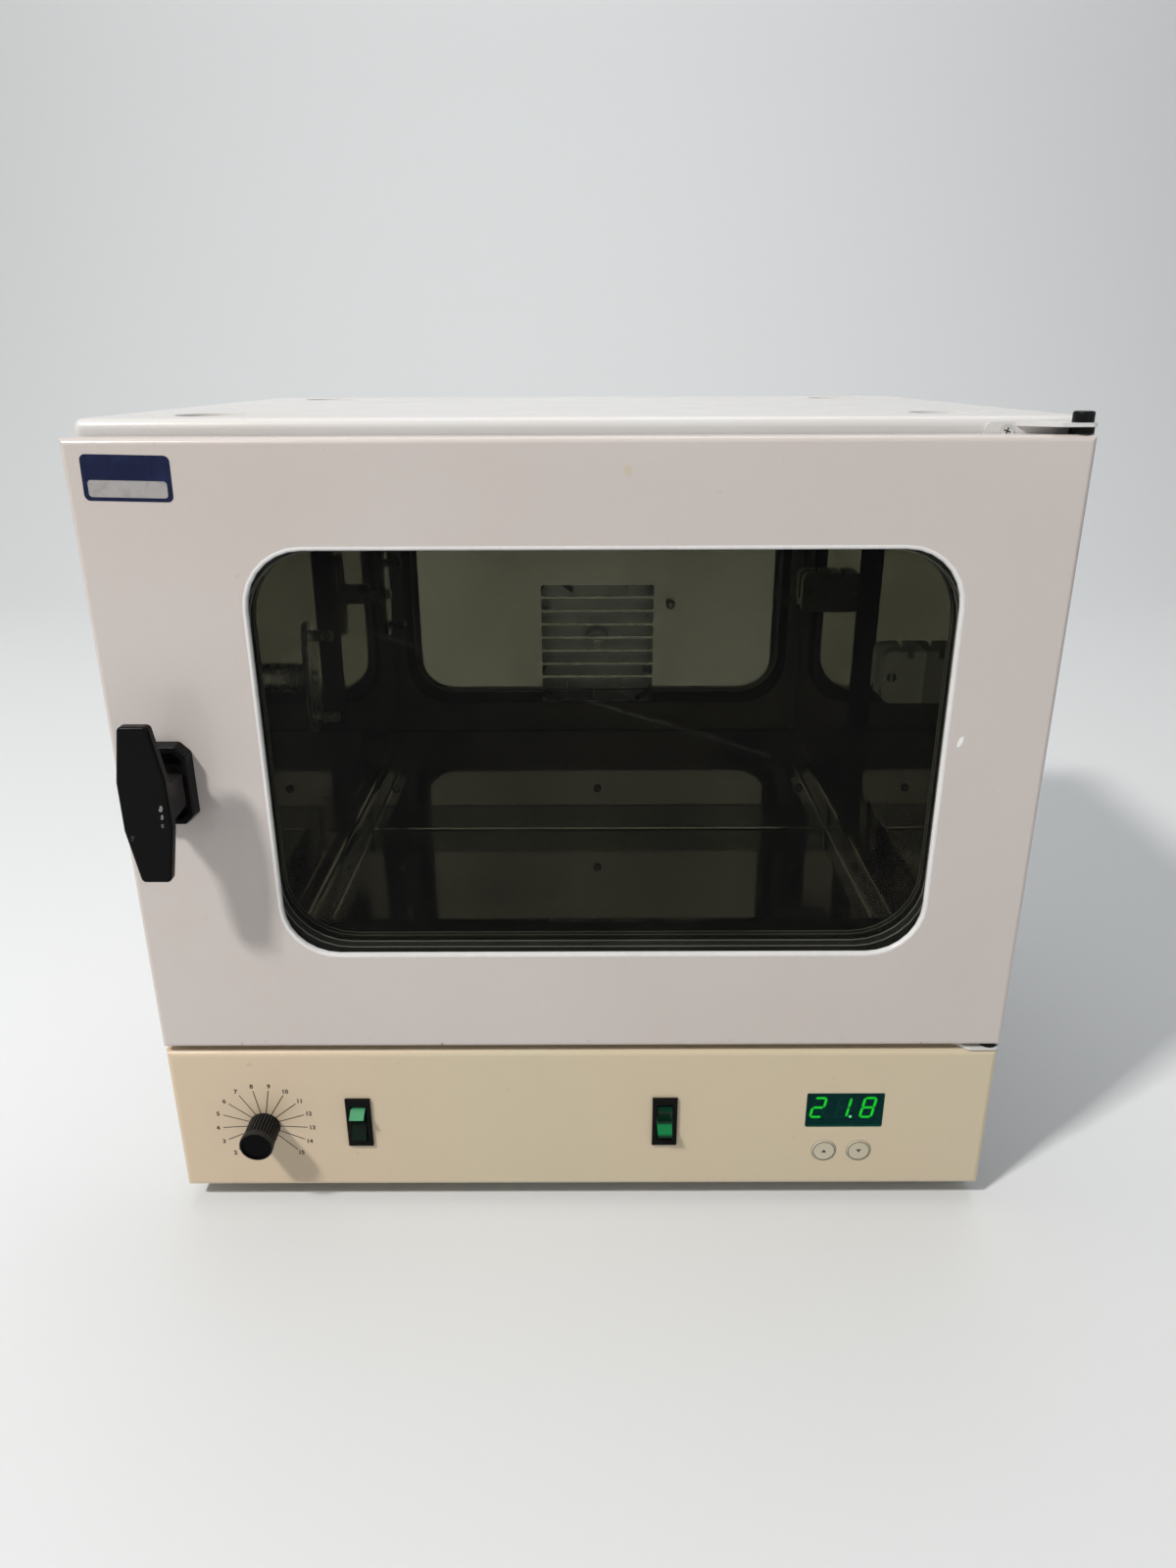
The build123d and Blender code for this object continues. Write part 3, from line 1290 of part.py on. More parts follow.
with BuildPart() as window_gasket:
    with BuildSketch(front_plane(door_front - gasket_proud)):
        with Locations((window_shift, window_middle_z)):
            RectangleRounded(window_width + 2 * gasket_lip, window_height + 2 * gasket_lip,
                             window_corner + gasket_lip)
    extrude(amount=-gasket_proud)
    with BuildSketch(front_plane(door_front)):
        with Locations((window_shift, window_middle_z)):
            RectangleRounded(window_width + 2 * (gasket_web - gasket_sheet_gap),
                             window_height + 2 * (gasket_web - gasket_sheet_gap),
                             window_corner + gasket_web - gasket_sheet_gap)
    extrude(amount=-(sheet + gasket_sheet_gap))
    with BuildSketch(front_plane(door_front + sheet + gasket_sheet_gap)):
        with Locations((window_shift, window_middle_z)):
            RectangleRounded(window_width + 2 * gasket_flange, window_height + 2 * gasket_flange,
                             window_corner + gasket_flange)
    extrude(amount=-(gasket_back - door_front - sheet - gasket_sheet_gap))
    with BuildSketch(front_plane(door_front - gasket_proud)):
        with Locations((window_shift, window_middle_z)):
            RectangleRounded(window_width, window_height, window_corner)
    extrude(amount=-door_thickness, mode=Mode.SUBTRACT)
    with BuildSketch(front_plane(glass_front - gasket_sheet_gap)):
        with Locations((window_shift, window_middle_z)):
            RectangleRounded(window_width + 2 * (glass_margin + gasket_sheet_gap),
                             window_height + 2 * (glass_margin + gasket_sheet_gap),
                             window_corner + glass_margin + gasket_sheet_gap)
    extrude(amount=-door_thickness, mode=Mode.SUBTRACT)
window_gasket.part.label = "window_gasket"
export_step(window_gasket.part, "parts/window_gasket.step")

with BuildPart() as inner_glass_frame:
    with BuildSketch(front_plane(frame_front)):
        with Locations((window_shift, window_middle_z)):
            RectangleRounded(window_width + 2 * gasket_flange, window_height + 2 * gasket_flange,
                             inner_corner)
    extrude(amount=-(frame_back - frame_front))
    with BuildSketch(front_plane(door_back)):
        with Locations((window_shift, window_middle_z)):
            RectangleRounded(window_width + 2 * (gasket_flange + frame_flange),
                             window_height + 2 * (gasket_flange + frame_flange),
                             inner_corner + frame_flange)
    extrude(amount=-frame_flange_thickness)
    with BuildSketch(front_plane(frame_front)):
        with Locations((window_shift, window_middle_z)):
            RectangleRounded(window_width, window_height, inner_corner)
    extrude(amount=-chamber_depth, mode=Mode.SUBTRACT)
    with BuildSketch(front_plane(inner_glass_front - gasket_sheet_gap)):
        with Locations((window_shift, window_middle_z)):
            RectangleRounded(window_width + 2 * (glass_margin + fit_gap),
                             window_height + 2 * (glass_margin + fit_gap), inner_corner)
    extrude(amount=-(glass_thickness + 2 * gasket_sheet_gap), mode=Mode.SUBTRACT)
inner_glass_frame.part.label = "inner_glass_frame"
export_step(inner_glass_frame.part, "parts/inner_glass_frame.step")

with BuildPart() as inner_glass:
    with BuildSketch(front_plane(inner_glass_front)):
        with Locations((window_shift, window_middle_z)):
            RectangleRounded(window_width + 2 * glass_margin, window_height + 2 * glass_margin,
                             inner_corner + fit_gap)
    extrude(amount=-glass_thickness)
inner_glass.part.label = "inner_glass"
export_step(inner_glass.part, "parts/inner_glass.step")

# ------------------------------------------------------------------ latch
# A tapered grip on a flared neck turns a shank through the door; behind the case front
# the shank's tongue passes out of its slot and grips the sheet.
escutcheon_taper = 7.0
escutcheon_round = 0.8
escutcheon_edge_round = 2.4
grip_front = door_front - handle_reach
grip_back = grip_front + grip_thickness
neck_end = grip_back + neck_length
neck_corner = 3.0
boss_back = door_front - recess_floor - move_gap
cam_front = case_front + sheet + cam_gap
cam_back = cam_front + cam_thickness
cam_square = 7.0
cam_corner = 2.0
stud_radius = 3.0
nut_height = 4.0
stud_length = 5.0
grip_corner = 2.2
grip_round = 1.3


def clipped(width, height, corner):
    """Corner points of a rectangle with its four corners cut off."""
    w, h = width / 2, height / 2
    return [(-w, -h + corner), (-w + corner, -h), (w - corner, -h), (w, -h + corner),
            (w, h - corner), (w - corner, h), (-w + corner, h), (-w, h - corner)]


with BuildPart() as latch_escutcheon:
    with BuildSketch(front_plane(door_front)) as escutcheon_outline:
        with Locations((latch_x, latch_z)):
            Polygon(*clipped(escutcheon_width, escutcheon_height, escutcheon_corner))
        fillet(escutcheon_outline.vertices(), radius=escutcheon_edge_round)
    extrude(amount=escutcheon_rise, taper=escutcheon_taper)
    fillet(latch_escutcheon.faces().sort_by(Axis.Y)[0].edges(), radius=escutcheon_round)
    with BuildSketch(front_plane(door_front - recess_floor)):
        with Locations((latch_x, latch_z)):
            Polygon(*clipped(recess_width, recess_height, recess_corner))
    extrude(amount=escutcheon_rise, mode=Mode.SUBTRACT)
    with BuildSketch(front_plane(door_front)):
        with Locations((latch_x, latch_z)):
            Circle(shank_radius + running_gap)
    extrude(amount=escutcheon_rise, mode=Mode.SUBTRACT)
latch_escutcheon.part.label = "latch_escutcheon"
export_step(latch_escutcheon.part, "parts/latch_escutcheon.step")

with BuildPart() as latch_handle:
    with BuildSketch(front_plane(grip_front)) as grip_outline:
        with Locations((latch_x, latch_z)):
            Polygon((-grip_end_width / 2, -grip_height / 2), (grip_end_width / 2, -grip_height / 2),
                    (grip_width / 2, -grip_straight / 2), (grip_width / 2, grip_straight / 2),
                    (grip_end_width / 2, grip_height / 2), (-grip_end_width / 2, grip_height / 2),
                    (-grip_width / 2, grip_straight / 2), (-grip_width / 2, -grip_straight / 2))
        fillet(grip_outline.vertices(), radius=grip_corner)
    extrude(amount=-grip_thickness)
    grip_faces = latch_handle.faces().filter_by(Axis.Y).sort_by(Axis.Y)
    fillet(grip_faces[0].edges() + grip_faces[-1].edges(), radius=grip_round)
    with BuildSketch(front_plane(neck_end)):
        with Locations((latch_x, latch_z)):
            Polygon(*clipped(neck_width, neck_height, neck_corner))
    with BuildSketch(front_plane(grip_back - grip_round)):
        with Locations((latch_x, latch_z)):
            Polygon(*clipped(neck_width, neck_height + 2 * neck_flare, neck_corner))
    loft()
    with BuildSketch(front_plane(neck_end)):
        with Locations((latch_x, latch_z)):
            Circle(neck_boss_radius)
    extrude(amount=-(boss_back - neck_end))
    with BuildSketch(front_plane(boss_back)):
        with Locations((latch_x, latch_z)):
            Circle(shank_radius)
    extrude(amount=-(cam_front - boss_back))
    with BuildSketch(front_plane(cam_front)):
        with Locations((latch_x, latch_z)):
            Rectangle(cam_square, cam_square)
    extrude(amount=-cam_thickness)
    with BuildSketch(front_plane(cam_back)):
        with Locations((latch_x, latch_z)):
            Circle(stud_radius)
    extrude(amount=-stud_length)
latch_handle.part.label = "latch_handle"
export_step(latch_handle.part, "parts/latch_handle.step")

with BuildPart() as latch_cam:
    with BuildSketch(front_plane(cam_front)) as cam_outline:
        with Locations((latch_x, latch_z + (cam_length - cam_heel) / 2)):
            Rectangle(cam_width, cam_length + cam_heel)
        fillet(cam_outline.vertices(), radius=cam_corner)
        with Locations((latch_x, latch_z)):
            Rectangle(cam_square + 2 * running_gap, cam_square + 2 * running_gap,
                      mode=Mode.SUBTRACT)
    extrude(amount=-cam_thickness)
latch_cam.part.label = "latch_cam"
export_step(latch_cam.part, "parts/latch_cam.step")

with BuildPart() as latch_nut:
    with BuildSketch(front_plane(cam_back)):
        with Locations((latch_x, latch_z)):
            RegularPolygon(nut_flats / 2, 6, major_radius=False)
            Circle(stud_radius + running_gap, mode=Mode.SUBTRACT)
    extrude(amount=-nut_height)
latch_nut.part.label = "latch_nut"
export_step(latch_nut.part, "parts/latch_nut.step")

# ------------------------------------------------------------------ display and buttons
display_flange = 2.0
display_flange_depth = 1.0
module_width = 36.0
module_height = 18.0
module_front = panel_inner + display_flange_depth + move_gap
tact_size = 6.0
tact_height = 2.6
plunger_radius = 1.7
plunger_height = 1.0
button_flange_radius = 7.4
button_flange = 1.0
button_front = panel_front - button_proud
button_stem_radius = 2.0
button_round = 0.5
plunger_front = board_front - tact_height - plunger_height
button_back = plunger_front - button_travel - move_gap
button_places = [(up_button_x, case_bottom + button_z), (down_button_x, case_bottom + button_z)]
relay_width = 20.0
relay_height = 16.0
relay_side_inset = 18.0
relay_top_inset = 19.0
relay_place = (board_x - board_width / 2 + relay_side_inset,
               board_z + board_height / 2 - relay_top_inset)
terminal_block_width = 40.0
terminal_block_height = 9.0
terminal_block_shift = 10.0
terminal_block_inset = 9.0
terminal_block_place = (board_x + terminal_block_shift,
                        board_z - board_height / 2 + terminal_block_inset)
board_parts_depth = 14.0

with BuildPart() as display_window:
    with BuildSketch(front_plane(panel_front)):
        with Locations((display_x, case_bottom + display_z)):
            RectangleRounded(display_width, display_height, display_corner)
    extrude(amount=-panel_wall)
    with BuildSketch(front_plane(panel_inner)):
        with Locations((display_x, case_bottom + display_z)):
            Rectangle(display_width + 2 * display_flange, display_height + 2 * display_flange)
    extrude(amount=-display_flange_depth)
display_window.part.label = "display_window"
export_step(display_window.part, "parts/display_window.step")

with BuildPart() as display_module:
    with BuildSketch(front_plane(module_front)):
        with Locations((display_x, case_bottom + display_z)):
            Rectangle(module_width, module_height)
    extrude(amount=-(board_front - module_front))
display_module.part.label = "display_module"
export_step(display_module.part, "parts/display_module.step")

with BuildPart() as control_board:
    with BuildSketch(front_plane(board_front)):
        with Locations((board_x, board_z)):
            Rectangle(board_width, board_height)
            with GridLocations(board_width - 2 * board_hole_inset,
                               board_height - 2 * board_hole_inset, 2, 2):
                Circle(peg_radius + fit_gap, mode=Mode.SUBTRACT)
    extrude(amount=-board_thickness)
    with BuildSketch(front_plane(board_front)):
        with Locations(*button_places):
            Rectangle(tact_size, tact_size)
    extrude(amount=tact_height)
    with BuildSketch(front_plane(board_front - tact_height)):
        with Locations(*button_places):
            Circle(plunger_radius)
    extrude(amount=plunger_height)
    # relay and terminal block on the back
    with BuildSketch(front_plane(board_front + board_thickness)):
        with Locations(relay_place):
            Rectangle(relay_width, relay_height)
        with Locations(terminal_block_place):
            Rectangle(terminal_block_width, terminal_block_height)
    extrude(amount=-board_parts_depth)
control_board.part.label = "control_board"
export_step(control_board.part, "parts/control_board.step")

with BuildPart() as up_button:
    with BuildSketch(front_plane(button_front)):
        with Locations(button_places[0]):
            Circle(button_radius)
    extrude(amount=-(panel_inner + move_gap - button_front))
    fillet(up_button.faces().sort_by(Axis.Y)[0].edges(), radius=button_round)
    with BuildSketch(front_plane(panel_inner + move_gap)):
        with Locations(button_places[0]):
            Circle(button_flange_radius)
    extrude(amount=-button_flange)
    with BuildSketch(front_plane(panel_inner + move_gap)):
        with Locations(button_places[0]):
            Circle(button_stem_radius)
    extrude(amount=-(button_back - panel_inner - move_gap))
up_button.part.label = "up_button"
export_step(up_button.part, "parts/up_button.step")

with BuildPart() as down_button:
    with BuildSketch(front_plane(button_front)):
        with Locations(button_places[1]):
            Circle(button_radius)
    extrude(amount=-(panel_inner + move_gap - button_front))
    fillet(down_button.faces().sort_by(Axis.Y)[0].edges(), radius=button_round)
    with BuildSketch(front_plane(panel_inner + move_gap)):
        with Locations(button_places[1]):
            Circle(button_flange_radius)
    extrude(amount=-button_flange)
    with BuildSketch(front_plane(panel_inner + move_gap)):
        with Locations(button_places[1]):
            Circle(button_stem_radius)
    extrude(amount=-(button_back - panel_inner - move_gap))
down_button.part.label = "down_button"
export_step(down_button.part, "parts/down_button.step")

# ------------------------------------------------------------------ rocker switches
# Rocker and case are drawn in the switch's own depth: pivot height from the bezel's front,
# a shallow valley for the finger, and stub pins in the side walls.
switch_front = panel_front - switch_proud
well_width = switch_width - 2 * switch_side
well_height = switch_height - 2 * switch_end
pivot_depth = 5.0
pivot_y = switch_front + pivot_depth
well_below_pivot = 4.6
well_depth = pivot_depth + well_below_pivot
rocker_width = well_width - 2 * move_gap
valley_setback = 0.35         # middle of the rocker behind the bezel's front
rocker_valley_depth = 4.1     # from the lips to the middle
rocker_valley = pivot_depth - valley_setback
rocker_end_gap = 1.5
rocker_half = well_height / 2 - rocker_end_gap
rocker_lip_inset = 1.8        # its ends lean in towards the lips
rocker_lip_half = rocker_half - rocker_lip_inset
rocker_lip = rocker_valley + rocker_valley_depth
rocker_shoulder = 3.9         # from the pivot to where the ends begin to lean
rocker_back = 2.0
stub_radius = 1.25
stub_length = 0.9
terminal_width = 4.8
terminal_thickness = 0.8
terminal_length = 7.0
terminal_pitch = 8.0
bezel_round = 0.6
switch_places = [(power_switch_x, switch_zs), (rotate_switch_x, switch_zs)]

with BuildPart() as switch_bodies:
    with BuildSketch(front_plane(switch_front)):
        with Locations(*switch_places):
            Rectangle(switch_width, switch_height)
    extrude(amount=-switch_proud)
    fillet(switch_bodies.faces().group_by(Axis.Y)[0].edges(), radius=bezel_round)
    with BuildSketch(front_plane(panel_front)):
        with Locations(*switch_places):
            Rectangle(switch_hole_width, switch_hole_height)
    extrude(amount=-switch_depth)
    with BuildSketch(front_plane(switch_front)):
        with Locations(*switch_places):
            Rectangle(well_width, well_height)
    extrude(amount=-well_depth, mode=Mode.SUBTRACT)
    for place in switch_places:
        with BuildSketch(side_plane(place[0] - rocker_width / 2 - stub_length - fit_gap)):
            with Locations((pivot_y, place[1])):
                Circle(stub_radius + running_gap)
        extrude(amount=rocker_width + 2 * (stub_length + fit_gap), mode=Mode.SUBTRACT)
    with BuildSketch(front_plane(panel_front + switch_depth)):
        with Locations(*switch_places):
            with GridLocations(0, terminal_pitch, 1, 3):
                Rectangle(terminal_width, terminal_thickness)
    extrude(amount=-terminal_length)
switch_bodies.part.label = "switch_bodies"
export_step(switch_bodies.part, "parts/switch_bodies.step")


def rocker_profile(tilt):
    """Side outline of a rocker turned by tilt about its pivot, as (depth, height) points."""
    corners = [(-rocker_valley, 0), (-rocker_lip, -rocker_lip_half),
               (-rocker_shoulder, -rocker_half), (rocker_back, -rocker_half),
               (rocker_back, rocker_half), (-rocker_shoulder, rocker_half),
               (-rocker_lip, rocker_lip_half)]
    c, s = cos(radians(tilt)), sin(radians(tilt))
    return [(y * c - z * s, y * s + z * c) for y, z in corners]


with BuildPart() as power_rocker:
    with BuildSketch(side_plane(power_switch_x - rocker_width / 2)):
        with Locations((pivot_y, switch_zs)):
            Polygon(*rocker_profile(-rocker_tilt), align=None)
    extrude(amount=rocker_width)
    with BuildSketch(side_plane(power_switch_x - rocker_width / 2 - stub_length)):
        with Locations((pivot_y, switch_zs)):
            Circle(stub_radius)
    extrude(amount=rocker_width + 2 * stub_length)
power_rocker.part.label = "power_rocker"
export_step(power_rocker.part, "parts/power_rocker.step")

with BuildPart() as rotate_rocker:
    with BuildSketch(side_plane(rotate_switch_x - rocker_width / 2)):
        with Locations((pivot_y, switch_zs)):
            Polygon(*rocker_profile(rocker_tilt), align=None)
    extrude(amount=rocker_width)
    with BuildSketch(side_plane(rotate_switch_x - rocker_width / 2 - stub_length)):
        with Locations((pivot_y, switch_zs)):
            Circle(stub_radius)
    extrude(amount=rocker_width + 2 * stub_length)
rotate_rocker.part.label = "rotate_rocker"
export_step(rotate_rocker.part, "parts/rotate_rocker.step")

# ------------------------------------------------------------------ speed control
pot_z = case_bottom + knob_z
pot_radius = 8.5
pot_length = 9.0
pot_thread_proud = 3.0
pot_nut_flats = 10.0
pot_nut_height = 2.0
pot_end_wall = 1.5
pot_lug_pitch = 5.0
pot_lug_width = 2.0
pot_lug_height = 10.0
pot_shaft_back = panel_inner + pot_length - pot_end_wall
knob_back = panel_front - knob_gap
knob_front = knob_back - knob_length
knob_face = 2.0
knob_round = 0.8
knob_dish_radius = 6.7
knob_dish = 0.5
knob_recess_radius = 6.4
knob_recess = 3.2
flute_radius = 0.45
flute_start = 0.5             # a plain ring is left at the base

with BuildPart() as speed_potentiometer:
    with BuildSketch(front_plane(panel_inner)):
        with Locations((knob_x, pot_z)):
            Circle(pot_radius)
    extrude(amount=-pot_length)
    with BuildSketch(front_plane(panel_inner)):
        with Locations((knob_x, pot_z)):
            Circle(pot_bush_radius)
    extrude(amount=panel_wall + pot_thread_proud)
    with BuildSketch(front_plane(panel_front)):
        with Locations((knob_x, pot_z)):
            RegularPolygon(pot_nut_flats / 2, 6, major_radius=False)
    extrude(amount=pot_nut_height)
    with BuildSketch(front_plane(pot_shaft_back + fit_gap)):
        with Locations((knob_x, pot_z)):
            Circle(pot_shaft_radius + running_gap)
    extrude(amount=pot_shaft_back - knob_front, mode=Mode.SUBTRACT)
    with BuildSketch(front_plane(panel_inner + pot_length / 2)):
        with Locations((knob_x, pot_z - pot_radius)):
            with GridLocations(pot_lug_pitch, 0, 3, 1):
                Rectangle(pot_lug_width, pot_lug_height)
    extrude(amount=-terminal_thickness)
speed_potentiometer.part.label = "speed_potentiometer"
export_step(speed_potentiometer.part, "parts/speed_potentiometer.step")

with BuildPart() as pot_shaft:
    with BuildSketch(front_plane(pot_shaft_back)):
        with Locations((knob_x, pot_z)):
            Circle(pot_shaft_radius)
    extrude(amount=pot_shaft_back - knob_front - knob_face - fit_gap)
pot_shaft.part.label = "pot_shaft"
export_step(pot_shaft.part, "parts/pot_shaft.step")

with BuildPart() as speed_knob:
    with BuildSketch(front_plane(knob_back)):
        with Locations((knob_x, pot_z)):
            Circle(knob_radius)
    extrude(amount=knob_length - knob_cap_length)
    with BuildSketch(front_plane(knob_back - flute_start)):
        with Locations((knob_x, pot_z)):
            with PolarLocations(knob_radius, knob_flutes):
                Circle(flute_radius)
    extrude(amount=knob_length, mode=Mode.SUBTRACT)
    with BuildSketch(front_plane(knob_front + knob_cap_length)):
        with Locations((knob_x, pot_z)):
            Circle(knob_cap_radius)
    extrude(amount=knob_cap_length)
    fillet(speed_knob.faces().sort_by(Axis.Y)[0].edges(), radius=knob_round)
    with BuildSketch(front_plane(knob_front)):
        with Locations((knob_x, pot_z)):
            Circle(knob_dish_radius)
    extrude(amount=-knob_dish, mode=Mode.SUBTRACT)
    with BuildSketch(front_plane(knob_back)):
        with Locations((knob_x, pot_z)):
            Circle(knob_recess_radius)
    extrude(amount=knob_recess, mode=Mode.SUBTRACT)
    with BuildSketch(front_plane(knob_back)):
        with Locations((knob_x, pot_z)):
            Circle(pot_shaft_radius + running_gap)
    extrude(amount=knob_length - knob_face, mode=Mode.SUBTRACT)
speed_knob.part.label = "speed_knob"
export_step(speed_knob.part, "parts/speed_knob.step")

# ------------------------------------------------------------------ transformer and inlet
core_width = 57.0
core_depth = 28.0
core_height = 48.0
coil_width = 36.0
coil_depth = 50.0
coil_height = 30.0
core_foot_width = 80.0
core_foot_thickness = 2.0
core_hole_inset = 6.0
coil_corner = 6.0
transformer_x = -30.0
transformer_y = case_front + case_depth / 2
coil_bottom = base_top + core_foot_thickness + (core_height - coil_height) / 2

with BuildPart() as transformer:
    with BuildSketch(Plane.XY.offset(base_top)):
        with Locations((transformer_x, transformer_y)):
            Rectangle(core_foot_width, core_depth)
            with GridLocations(core_foot_width - 2 * core_hole_inset, 0, 2, 1):
                Circle(screw_hole, mode=Mode.SUBTRACT)
    extrude(amount=core_foot_thickness)
    with BuildSketch(Plane.XY.offset(base_top + core_foot_thickness)):
        with Locations((transformer_x, transformer_y)):
            Rectangle(core_width, core_depth)
    extrude(amount=core_height)
    with BuildSketch(Plane.XY.offset(coil_bottom)):
        with Locations((transformer_x, transformer_y)):
            RectangleRounded(coil_width, coil_depth, coil_corner)
    extrude(amount=coil_height)
transformer.part.label = "transformer"
export_step(transformer.part, "parts/transformer.step")

inlet_flange_width = 50.0
inlet_flange_height = 24.0
inlet_depth = 24.0
inlet_well_width = 24.4
inlet_well_height = 16.6
inlet_well_depth = 16.0
inlet_pin_width = 2.0
inlet_pin_height = 4.0
inlet_pin_length = 14.0
inlet_pin_spacing = 14.0
inlet_pin_rise = 2.0
inlet_corner = 4.0
inlet_well_corner = 3.0

with BuildPart() as mains_inlet:
    with BuildSketch(front_plane(case_rear)):
        with Locations((inlet_x, inlet_z)):
            RectangleRounded(inlet_flange_width, inlet_flange_height, inlet_corner)
            with GridLocations(inlet_screw_spacing, 0, 2, 1):
                Circle(screw_hole, mode=Mode.SUBTRACT)
    extrude(amount=-inlet_flange)
    with BuildSketch(front_plane(case_rear)):
        with Locations((inlet_x, inlet_z)):
            Rectangle(inlet_body_width, inlet_body_height)
    extrude(amount=inlet_depth)
    with BuildSketch(front_plane(case_rear + inlet_flange)):
        with Locations((inlet_x, inlet_z)):
            RectangleRounded(inlet_well_width, inlet_well_height, inlet_well_corner)
    extrude(amount=inlet_well_depth, mode=Mode.SUBTRACT)
    with BuildSketch(front_plane(case_rear + inlet_flange - inlet_well_depth)):
        with Locations((inlet_x, inlet_z - inlet_pin_rise)):
            with GridLocations(inlet_pin_spacing, 0, 2, 1):
                Rectangle(inlet_pin_width, inlet_pin_height)
        with Locations((inlet_x, inlet_z + inlet_pin_rise)):
            Rectangle(inlet_pin_width, inlet_pin_height)
    extrude(amount=-inlet_pin_length)
mains_inlet.part.label = "mains_inlet"
export_step(mains_inlet.part, "parts/mains_inlet.step")

# ------------------------------------------------------------------ feet
foot_top = base_bottom
foot_barb_radius = 4.8
foot_barb_height = 1.6
foot_round = 1.2

with BuildPart() as feet:
    with BuildSketch(Plane.XY):
        with Locations((0, foot_middle_y)):
            with GridLocations(foot_spacing_x, foot_spacing_y, 2, 2):
                Circle(foot_radius)
    extrude(amount=foot_top)
    fillet(feet.faces().group_by(Axis.Z)[0].edges(), radius=foot_round)
    with BuildSketch(Plane.XY.offset(foot_top)):
        with Locations((0, foot_middle_y)):
            with GridLocations(foot_spacing_x, foot_spacing_y, 2, 2):
                Circle(foot_stud_radius)
    extrude(amount=base_sheet)
    with BuildSketch(Plane.XY.offset(base_top)):
        with Locations((0, foot_middle_y)):
            with GridLocations(foot_spacing_x, foot_spacing_y, 2, 2):
                Circle(foot_barb_radius)
    extrude(amount=foot_barb_height)
feet.part.label = "feet"
export_step(feet.part, "parts/feet.step")
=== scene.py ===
# %% [markdown]
# # A bench hybridization oven
# The cabinet, door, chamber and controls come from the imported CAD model. This file lights
# them, sets up the camera and gives them their surfaces. It also adds what is finer than
# the CAD model holds: the window's rolled edge, its rubber and the frame behind it, print,
# a sticker, glowing digits and the crosses in the screw heads.

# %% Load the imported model
import json
import math

import bpy
import numpy as np
from mathutils import Matrix, Vector


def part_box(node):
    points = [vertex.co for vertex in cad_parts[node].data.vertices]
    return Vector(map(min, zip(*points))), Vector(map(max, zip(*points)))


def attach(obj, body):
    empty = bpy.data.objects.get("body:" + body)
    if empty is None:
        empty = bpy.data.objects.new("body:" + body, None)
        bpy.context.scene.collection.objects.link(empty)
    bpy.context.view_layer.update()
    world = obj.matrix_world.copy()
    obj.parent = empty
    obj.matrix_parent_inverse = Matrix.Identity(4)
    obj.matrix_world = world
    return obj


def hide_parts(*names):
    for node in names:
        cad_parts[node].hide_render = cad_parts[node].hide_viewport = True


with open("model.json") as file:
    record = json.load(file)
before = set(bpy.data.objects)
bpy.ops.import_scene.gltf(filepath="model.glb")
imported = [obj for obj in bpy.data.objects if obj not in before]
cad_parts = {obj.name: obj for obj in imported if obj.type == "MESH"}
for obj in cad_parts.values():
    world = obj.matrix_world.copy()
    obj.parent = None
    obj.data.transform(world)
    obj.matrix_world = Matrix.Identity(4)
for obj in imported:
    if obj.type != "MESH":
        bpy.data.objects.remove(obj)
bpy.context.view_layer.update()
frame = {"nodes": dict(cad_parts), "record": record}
nodes = frame["nodes"]
MM = 0.001


def middle_of(node):
    """The middle of a node's box as seen from the front: its x and z."""
    low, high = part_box(node)
    return (low.x + high.x) / 2, (low.z + high.z) / 2


# %% [markdown]
# ## The camera
# A photo is matched by three things: where the lens stands, where it points, and how wide
# it sees. The straight edges of the door and the case gave all three. The camera stands a
# little over half a metre in front of the door and looks down at it.

# %% Set up the camera
PHOTO_WIDTH, PHOTO_HEIGHT = 1200, 1600
FOCAL_PIXELS = 1095.66
SENSOR_MM = 36.0
CAMERA_PLACE = Vector((0.0040, -0.5877, 0.40584))
PITCH_DOWN, YAW, ROLL = 21.254, 0.064, -0.198

camera_data = bpy.data.cameras.new("camera")
camera_data.sensor_width = SENSOR_MM
camera_data.lens = FOCAL_PIXELS * SENSOR_MM / PHOTO_HEIGHT
camera = bpy.data.objects.new("camera", camera_data)
bpy.context.scene.collection.objects.link(camera)
camera.location = CAMERA_PLACE
camera.rotation_euler = (Matrix.Rotation(math.radians(YAW), 3, "Z")
                         @ Matrix.Rotation(math.radians(90 - PITCH_DOWN), 3, "X")
                         @ Matrix.Rotation(math.radians(ROLL), 3, "Z")).to_euler()
bpy.context.scene.camera = camera
bpy.context.view_layer.update()


def photo_pixel(point):
    """The pixel where a point lands: sideways and upwards over depth, times the focal length."""
    seen = camera.matrix_world.inverted() @ Vector(point)
    return (PHOTO_WIDTH / 2 - FOCAL_PIXELS * seen.x / seen.z,
            PHOTO_HEIGHT / 2 + FOCAL_PIXELS * seen.y / seen.z)


# Two corners of the latch grip and one of the plate behind it, in millimetres
CHECK_CORNERS = ((-187.45, -175.0, 271.5), (-174.95, -175.0, 201.5), (-167.7, -151.0, 255.75))
for corner in CHECK_CORNERS:
    print("check point", corner, "->", [round(v, 1) for v in photo_pixel(Vector(corner) * MM)])

# %% [markdown]
# ## Floor, backdrop and light
# A product studio is one pale sheet that runs flat under the object and curves up behind
# it, so no horizon shows. The sheet is a profile (floor, quarter circle, wall) carried
# sideways. The shadows of the grip and the knob tell where the main lamp stood: for each
# millimetre that they stick out, their shadows fall about one to the right and one and a
# half down. It is a fairly small lamp, so the shadows have edges. The other lamps are
# large and only fill in.

# %% Build the studio
STUDIO_HALF_WIDTH, FLOOR_FRONT, WALL_Y, WALL_HEIGHT = 6.0, -5.0, 2.6, 5.0
SWEEP_RADIUS, SWEEP_STEPS = 1.2, 17


